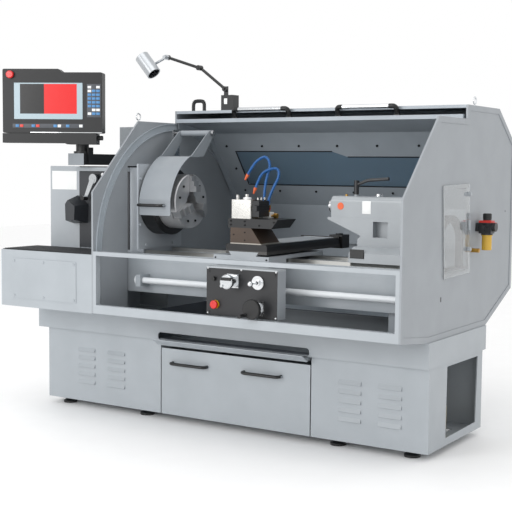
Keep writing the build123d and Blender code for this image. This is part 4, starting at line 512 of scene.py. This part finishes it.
def hang(bm, name, body, material):
    """Turns the bmesh into a finished piece on its body."""
    bmesh.ops.recalc_face_normals(bm, faces=bm.faces)
    mesh = bpy.data.meshes.new(name)
    bm.to_mesh(mesh)
    bm.free()
    mesh.materials.append(material)
    made = bpy.data.objects.new(name, mesh)
    bpy.context.scene.collection.objects.link(made)
    mesh.shade_smooth()
    mesh.set_sharp_from_angle(angle=math.radians(SHARP_FROM))
    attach(made, body)
    print(name, len(mesh.polygons), "faces")
    return made


# %% [markdown]
# The window is clamped to the folded facet by screws whose black heads show inside the guard.
# The facet runs from the upper fold down to the lower one, so each screw is placed by how far
# along the facet it sits, as a fitter would mark it.

# %% Screws of the guard window
FOLD = Vector((0, 387, 1509))
SCREW_PITCH = 239
TOP_ROW, SIDE_ROW, LOW_ROW = 88, 248, 407
facet_down = Vector((0, 308, -404)).normalized()
facet_in = Vector((0, -0.7953, -0.6063))
# Black oxide on socket screws: dark, with a metal glint
screw_black = finish("screw_black_oxide", "#141517", "#1E1F21", 0.4, metal=0.6, grain=1.0, relief=0.04)
places = [(-484 + SCREW_PITCH * n, TOP_ROW) for n in range(7)]
places += [(-480, SIDE_ROW), (1015, SIDE_ROW)]
places += [(-478 + SCREW_PITCH * n, LOW_ROW) for n in range(7)]
bm = bmesh.new()
for x, down in places:
    foot = FOLD + Vector((x, 0, 0)) + facet_down * down + facet_in * 2.4
    cap_screw(bm, foot, facet_in, 6.5)
hang(bm, "guard_window_screws", "hood", screw_black)

# %% [markdown]
# A black rubber seal closes the gap between the pane and the cut edge of the sheet. It is a thin
# strip that follows the window, so it is built as straight runs with softened corners.

# %% Window seal
# Extruded rubber: black and dull
rubber_seal = finish("seal_rubber", "#101113", "#191A1C", 0.62, grain=1.2, relief=0.1)
facet_turn = Matrix((
    (1, 0, 0, 0),
    (0, facet_down.y, -facet_in.y, FOLD.y * MM),
    (0, facet_down.z, -facet_in.z, FOLD.z * MM),
    (0, 0, 0, 1)))
SEAL_DEPTH = (-4.5, -1.0)
bm = bmesh.new()
for low, high in (((-440, 123), (190, 129)), ((274, 160), (980, 166)), ((-440, 361), (980, 367)),
                  ((-440, 123), (-434, 367)), ((974, 160), (980, 367))):
    soft_block(bm, (*low, SEAL_DEPTH[0]), (*high, SEAL_DEPTH[1]), 0.8, facet_turn)
hang(bm, "guard_window_seal", "hood", rubber_seal)

# %% [markdown]
# The console's keys are moulded silicone caps in a recessed field: blue number keys, a few white
# ones above and below, and a row of coloured keys under the screen. None of them is lettered.

# %% Console keys
def console_block(bm, wide, high, out, edge=0.8):
    """A soft block on the console's face: its spans across, up and out of it, in mm."""
    turn = Matrix((
        (console_right.x, console_out.x, 0, CONSOLE_AT.x * MM),
        (console_right.y, console_out.y, 0, CONSOLE_AT.y * MM),
        (0, 0, 1, CONSOLE_AT.z * MM),
        (0, 0, 0, 1)))
    soft_block(bm, (wide[0], out[0], high[0]), (wide[1], out[1], high[1]), edge, turn)


KEY_OUT = (1.5, 4.2)
WHITE_KEYS = ((0, 0), (0, 2), (1, 0), (6, 1), (6, 2), (7, 0))
NO_KEYS = ((0, 1), (6, 0))
# The recess behind the keys: plain grey film
key_field = finish("key_field_grey", "#4A4D53", "#43464B", 0.5, grain=1.0, relief=0.05)
# Moulded silicone keys: soft, satin colours
blue_key = finish("silicone_key_blue", "#4E86B8", "#4379AA", 0.45, grain=1.0, relief=0.05)
white_key = finish("silicone_key_white", "#E4E6E6", "#D9DBDC", 0.45, grain=1.0, relief=0.05)
red_key = finish("silicone_key_red", "#D8463F", "#C93B35", 0.45, grain=1.0, relief=0.05)
bm = bmesh.new()
console_block(bm, (184, 258), (-84, 88), (0.2, 2.2), 1.2)
console_block(bm, (-212, 166), (-140, -118), (0.2, 2.0), 1.2)
hang(bm, "console_key_fields", "console", key_field)
blue, white, red = bmesh.new(), bmesh.new(), bmesh.new()
for row in range(8):
    for column in range(3):
        left, top = 188.5 + column * 22.5, 78 - row * 19.5
        if (row, column) not in NO_KEYS:
            target = white if (row, column) in WHITE_KEYS else blue
            console_block(target, (left, left + 19), (top - 13, top), KEY_OUT, 1.0)
low_keys = ((blue, (-186, -101, 16, 82)), (red, (-163, -77)), (white, (38, 152)))
for target, middles in low_keys:
    for middle in middles:
        console_block(target, (middle - 9, middle + 9), (-136, -122), KEY_OUT, 1.0)
hang(blue, "console_keys_blue", "console", blue_key)
hang(white, "console_keys_white", "console", white_key)
hang(red, "console_keys_red", "console", red_key)

# %% [markdown]
# A chrome trim strip closes the joint between the console and the tray below it.

# %% Console trim
bm = bmesh.new()
console_block(bm, (-118, 262), (-165, -161), (-2.0, 2.5))
hang(bm, "console_trim", "console", bright_chrome)

# %% [markdown]
# The control box is closed by five pan head screws, at its corners and in the middle of its top
# edge. A pan head is a low cone with a flat crown.

# %% Control box screws
# Zinc plated screws: pale, with a weak shine
pan_white = finish("zinc_screw", "#DADCDD", "#CACDCF", 0.3, metal=0.8, grain=0.8, relief=0.03)
CONTROL_FACE = -590
bm = bmesh.new()
for x, z in ((104, 843), (291, 843), (479, 843), (104, 632), (479, 632)):
    pin(bm, (x, CONTROL_FACE, z), (0, -1, 0), 5, 2.5, tip=3.4)
hang(bm, "control_box_screws", "carriage", pan_white)

# %% [markdown]
# Labels and name plates are left as bare white plates: thin aluminium with softened edges, on the
# end cover and on the tailstock.

# %% Bare plates
# Blank anodised plate, bleached white
plate_white = finish("bare_plate_white", "#F0F1F0", "#E7E9E8", 0.36, grain=1.2, relief=0.02)
bm = bmesh.new()
soft_block(bm, (-1117, -331.0, 1188), (-941, -329.9, 1288), 0.4)
hang(bm, "end_cover_plate", "machine", plate_white)
bm = bmesh.new()
soft_block(bm, (742, -259.2, 1107), (786, -257.9, 1166), 0.4)
hang(bm, "tailstock_plate", "tailstock", plate_white)

# %% [markdown]
# The coolant hoses are made of blue ball and socket links that snap together, one every 9 mm. A
# smooth route is cut from the straight legs by rounding the corners again and again, and one link
# is set at each step along it, with an orange nozzle at the tip. A link is a cup and a neck.

# %% Jointed coolant hoses
# Acetal, moulded: an oily smoothness and deep colour
link_blue = finish("acetal_link_blue", "#0F5C9E", "#0C528F", 0.34, grain=1.2, relief=0.03, coat=0.1)
nozzle_orange = finish("acetal_nozzle_orange", "#D9663A", "#C95A30", 0.36, grain=1.2, relief=0.03)
LINK_PITCH = 9.0
ROUTES = (
    (Vector((258, -344, 1138)),
     ((0, 0), (0, 30), (4, 84), (16, 140), (36, 192), (10, 236), (-44, 212), (-80, 166), (-96, 140))),
    (Vector((293, -359, 1138)),
     ((0, 0), (0, 28), (28, 88), (60, 140), (48, 182), (-34, 160), (-64, 106), (-76, 76))))


def rounded(points, times=3):
    """Cuts every corner of a route at its quarter points, several times over."""
    for _ in range(times):
        cut = [points[0]]
        for a, b in zip(points, points[1:]):
            cut += [a.lerp(b, 0.25), a.lerp(b, 0.75)]
        points = cut + [points[-1]]
    return points


def steps(points, pitch):
    """Points at an even pitch along a route, each with its direction."""
    found, left = [], 0.0
    for a, b in zip(points, points[1:]):
        way = b - a
        while left < way.length:
            found.append((a + way.normalized() * left, way.normalized()))
            left += pitch
        left -= way.length
    return found


links, tips = bmesh.new(), bmesh.new()
for start, legs in ROUTES:
    route = rounded([start + Vector((x, 0, z)) for x, z in legs])
    for at, way in steps(route, LINK_PITCH)[:-1]:
        pin(links, at, way, 7.4, 5.2, sides=14, tip=6.6)
        pin(links, at + way * 5.0, way, 5.0, 4.4, sides=12, tip=5.4)
    at, way = route[-1], (route[-1] - route[-2]).normalized()
    pin(tips, at - way * 6, way, 8.2, 10, sides=16)
    pin(tips, at + way * 3, way, 7.6, 22, sides=16, tip=4.0)
hoses = hang(links, "coolant_hose_links", "cross_slide", link_blue)
hang(tips, "coolant_nozzles", "cross_slide", nozzle_orange)
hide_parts("coolant_hoses")

# %% [markdown]
# The side door is a folded steel rim round a clear sheet, so that the belt and the cable chain
# can be checked without opening it. One quad on the panel's face is inset for the rim, and the
# rim alone is pulled out to its 7 mm; the same quad, inset less, becomes the pane behind it. Two
# knobs and a latch sit on the rim.

# %% Side door
DOOR = ((-212, 1243), (105, 1250), (134, 826), (-182, 818))
RIM_WIDTH, RIM_DEPTH = 24, 7
PANE_INSET, PANE_THICK = 20, 3


def door_quad(bm, x):
    """The door's outline as one face, at x mm."""
    corners = [bm.verts.new((x * MM, y * MM, z * MM)) for y, z in DOOR]
    return bmesh.ops.contextual_create(bm, geom=corners)["faces"]


def pull_out(bm, thick):
    """Gives every face of the bmesh a thickness in mm, outward from the side panel."""
    made = bmesh.ops.extrude_face_region(bm, geom=bm.faces[:])["geom"]
    far = [v for v in made if isinstance(v, bmesh.types.BMVert)]
    bmesh.ops.translate(bm, vec=(thick * MM, 0, 0), verts=far)


bm = bmesh.new()
outline = door_quad(bm, 1118)
bmesh.ops.inset_region(bm, faces=outline, thickness=RIM_WIDTH * MM)
bmesh.ops.delete(bm, geom=outline, context="FACES_ONLY")
pull_out(bm, RIM_DEPTH)
for y, z in ((87, 1201), (98, 941)):
    pin(bm, (1124.5, y, z), (1, 0, 0), 11, 16, sides=24, tip=10, edge=2)
soft_block(bm, (1124.5, 92, 1030), (1132.5, 110, 1078), 1.5)
rim = hang(bm, "side_door_rim", "side_door", frame_coat)
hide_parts("side_door")
bm = bmesh.new()
outline = door_quad(bm, 1119.5)
bmesh.ops.inset_region(bm, faces=outline, thickness=PANE_INSET * MM)
bmesh.ops.delete(bm, geom=[f for f in bm.faces if f not in outline], context="FACES")
pull_out(bm, PANE_THICK)
door_sheet = clear_sheet("door_clear_sheet", "#F2F5F7", 0.85, 1.49, 70, 2.0, 0.08)
hang(bm, "side_door_pane", "side_door", door_sheet)

# %% [markdown]
# The work light has a small white switch on its base. The conduit beside it is a corrugated tube:
# its path is an arch with rounded corners, and a ring is set on it every 7 mm.

# %% Switch and conduit rings
RING_PITCH = 7.0
bm = bmesh.new()
soft_block(bm, (-256, 67.5, 1652), (-236, 70.2, 1682), 1.0)
hang(bm, "lamp_switch", "machine", plate_white)
# Nylon conduit: black with a soft sheen
corrugated = finish("conduit_corrugated", "#1A1B1D", "#232427", 0.5, grain=1.0)
arch = rounded([Vector((x, 100, z)) for x, z in
                ((-478, 1624), (-478, 1660), (-470, 1674), (-414, 1674), (-406, 1660), (-406, 1624))], 2)
low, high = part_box("conduit")
tube_radius = (high.y - low.y) / 2 / MM
bm = bmesh.new()
for at, way in steps(arch, RING_PITCH):
    pin(bm, at, way, tube_radius + 1.2, 3.2, sides=18)
hang(bm, "conduit_rings", "machine", corrugated)

# %% [markdown]
# Socket screws sit in short rows where the tool block, the saddle and the chuck are bolted
# together. They are what makes a plain block read as a machined part. The chuck's six sit in pairs
# between the jaws.

# %% Machine screws
TOOL_FACE, SADDLE_FACE, CHUCK_FACE = -500, -510, -274
SPINDLE_Y, SPINDLE_Z = -200, 1138
CHUCK_SCREW_RING = 105
bm = bmesh.new()
for x, z in ((172, 1046), (172, 1064), (250, 1046), (250, 1064), (330, 1046), (410, 1064)):
    cap_screw(bm, (x, TOOL_FACE, z), (0, -1, 0), 4)
for x, z in ((188, 1000), (250, 1012), (250, 975)):
    cap_screw(bm, (x, TOOL_FACE, z), (0, -1, 0), 3)
hang(bm, "tool_block_screws", "cross_slide", screw_black)
bm = bmesh.new()
for x in (92, 378):
    cap_screw(bm, (x, SADDLE_FACE, 888), (0, -1, 0), 4)
hang(bm, "saddle_screws", "carriage", screw_black)
bm = bmesh.new()
for turn in (12, 48, 132, 168, 252, 288):
    y = SPINDLE_Y + CHUCK_SCREW_RING * math.cos(math.radians(turn))
    z = SPINDLE_Z + CHUCK_SCREW_RING * math.sin(math.radians(turn))
    cap_screw(bm, (CHUCK_FACE, y, z), (1, 0, 0), 6)
hang(bm, "chuck_face_screws", "spindle", screw_black)

# %% [markdown]
# A photograph of a machine like this is taken on a white cyclorama under large soft boxes: a wide
# one above, a strong one low in front and a weak one on the right, which is why the right side
# reads darker than the front; the side panels' coat is also painted darker, as painted shade.

# %% Floor and light
# Painted studio floor: matt and nearly white
floor_tone = finish("studio_floor", "#FCFCFC", "#FAFAFA", 0.6, grain=4.0, relief=0.01)
bm = bmesh.new()
bmesh.ops.create_grid(bm, x_segments=1, y_segments=1, size=14.0)
floor_mesh = bpy.data.meshes.new("studio_floor")
bm.to_mesh(floor_mesh)
bm.free()
floor_mesh.materials.append(floor_tone)
floor = bpy.data.objects.new("studio_floor", floor_mesh)
bpy.context.scene.collection.objects.link(floor)

world = bpy.data.worlds.new("studio")
bpy.context.scene.world = world
world.use_nodes = True
world.node_tree.nodes["Background"].inputs["Color"].default_value = (1.0, 1.0, 1.0, 1.0)
world.node_tree.nodes["Background"].inputs["Strength"].default_value = 1.0
bpy.context.scene.view_settings.view_transform = "Standard"


def soft_box(name, at, towards, width, height, power):
    """A rectangular lamp at a place in metres, aimed at a point."""
    lamp = bpy.data.lights.new(name, "AREA")
    lamp.shape = "RECTANGLE"
    lamp.size, lamp.size_y, lamp.energy = width, height, power
    made = bpy.data.objects.new(name, lamp)
    bpy.context.scene.collection.objects.link(made)
    made.location = at
    made.rotation_euler = (Vector(towards) - Vector(at)).to_track_quat("-Z", "Y").to_euler()


soft_box("main_box", (-1.6, -5.8, 2.3), (0, 0, 0.9), 3.0, 2.4, 120)
soft_box("top_box", (0.2, -1.6, 4.6), (0, 0, 0.8), 4.0, 2.4, 30)
soft_box("right_box", (5.0, -1.6, 2.4), (0.4, 0, 1.0), 1.6, 2.0, 6)
print("light set")

# %% [markdown]
# The camera stands at the front right, a little above the spindle, with a lens of 77 mm, so the
# machine is seen with little distortion.

# %% Camera
yaw, pitch, roll = math.radians(32.277), math.radians(4.634), math.radians(0.524)
forward = Vector((-math.sin(yaw) * math.cos(pitch), math.cos(yaw) * math.cos(pitch), -math.sin(pitch)))
level = Vector((math.cos(yaw), math.sin(yaw), 0))
upright = level.cross(forward)
right = level * math.cos(roll) + upright * math.sin(roll)
up = upright * math.cos(roll) - level * math.sin(roll)
camera = bpy.data.objects.new("camera", bpy.data.cameras.new("camera"))
camera.data.lens = 77.4
camera.data.sensor_width = 36.0
bpy.context.scene.collection.objects.link(camera)
camera.matrix_world = Matrix((
    (right.x, up.x, -forward.x, 3.0558),
    (right.y, up.y, -forward.y, -4.8414),
    (right.z, up.z, -forward.z, 1.3203),
    (0, 0, 0, 1)))
bpy.context.scene.camera = camera
print("camera set")
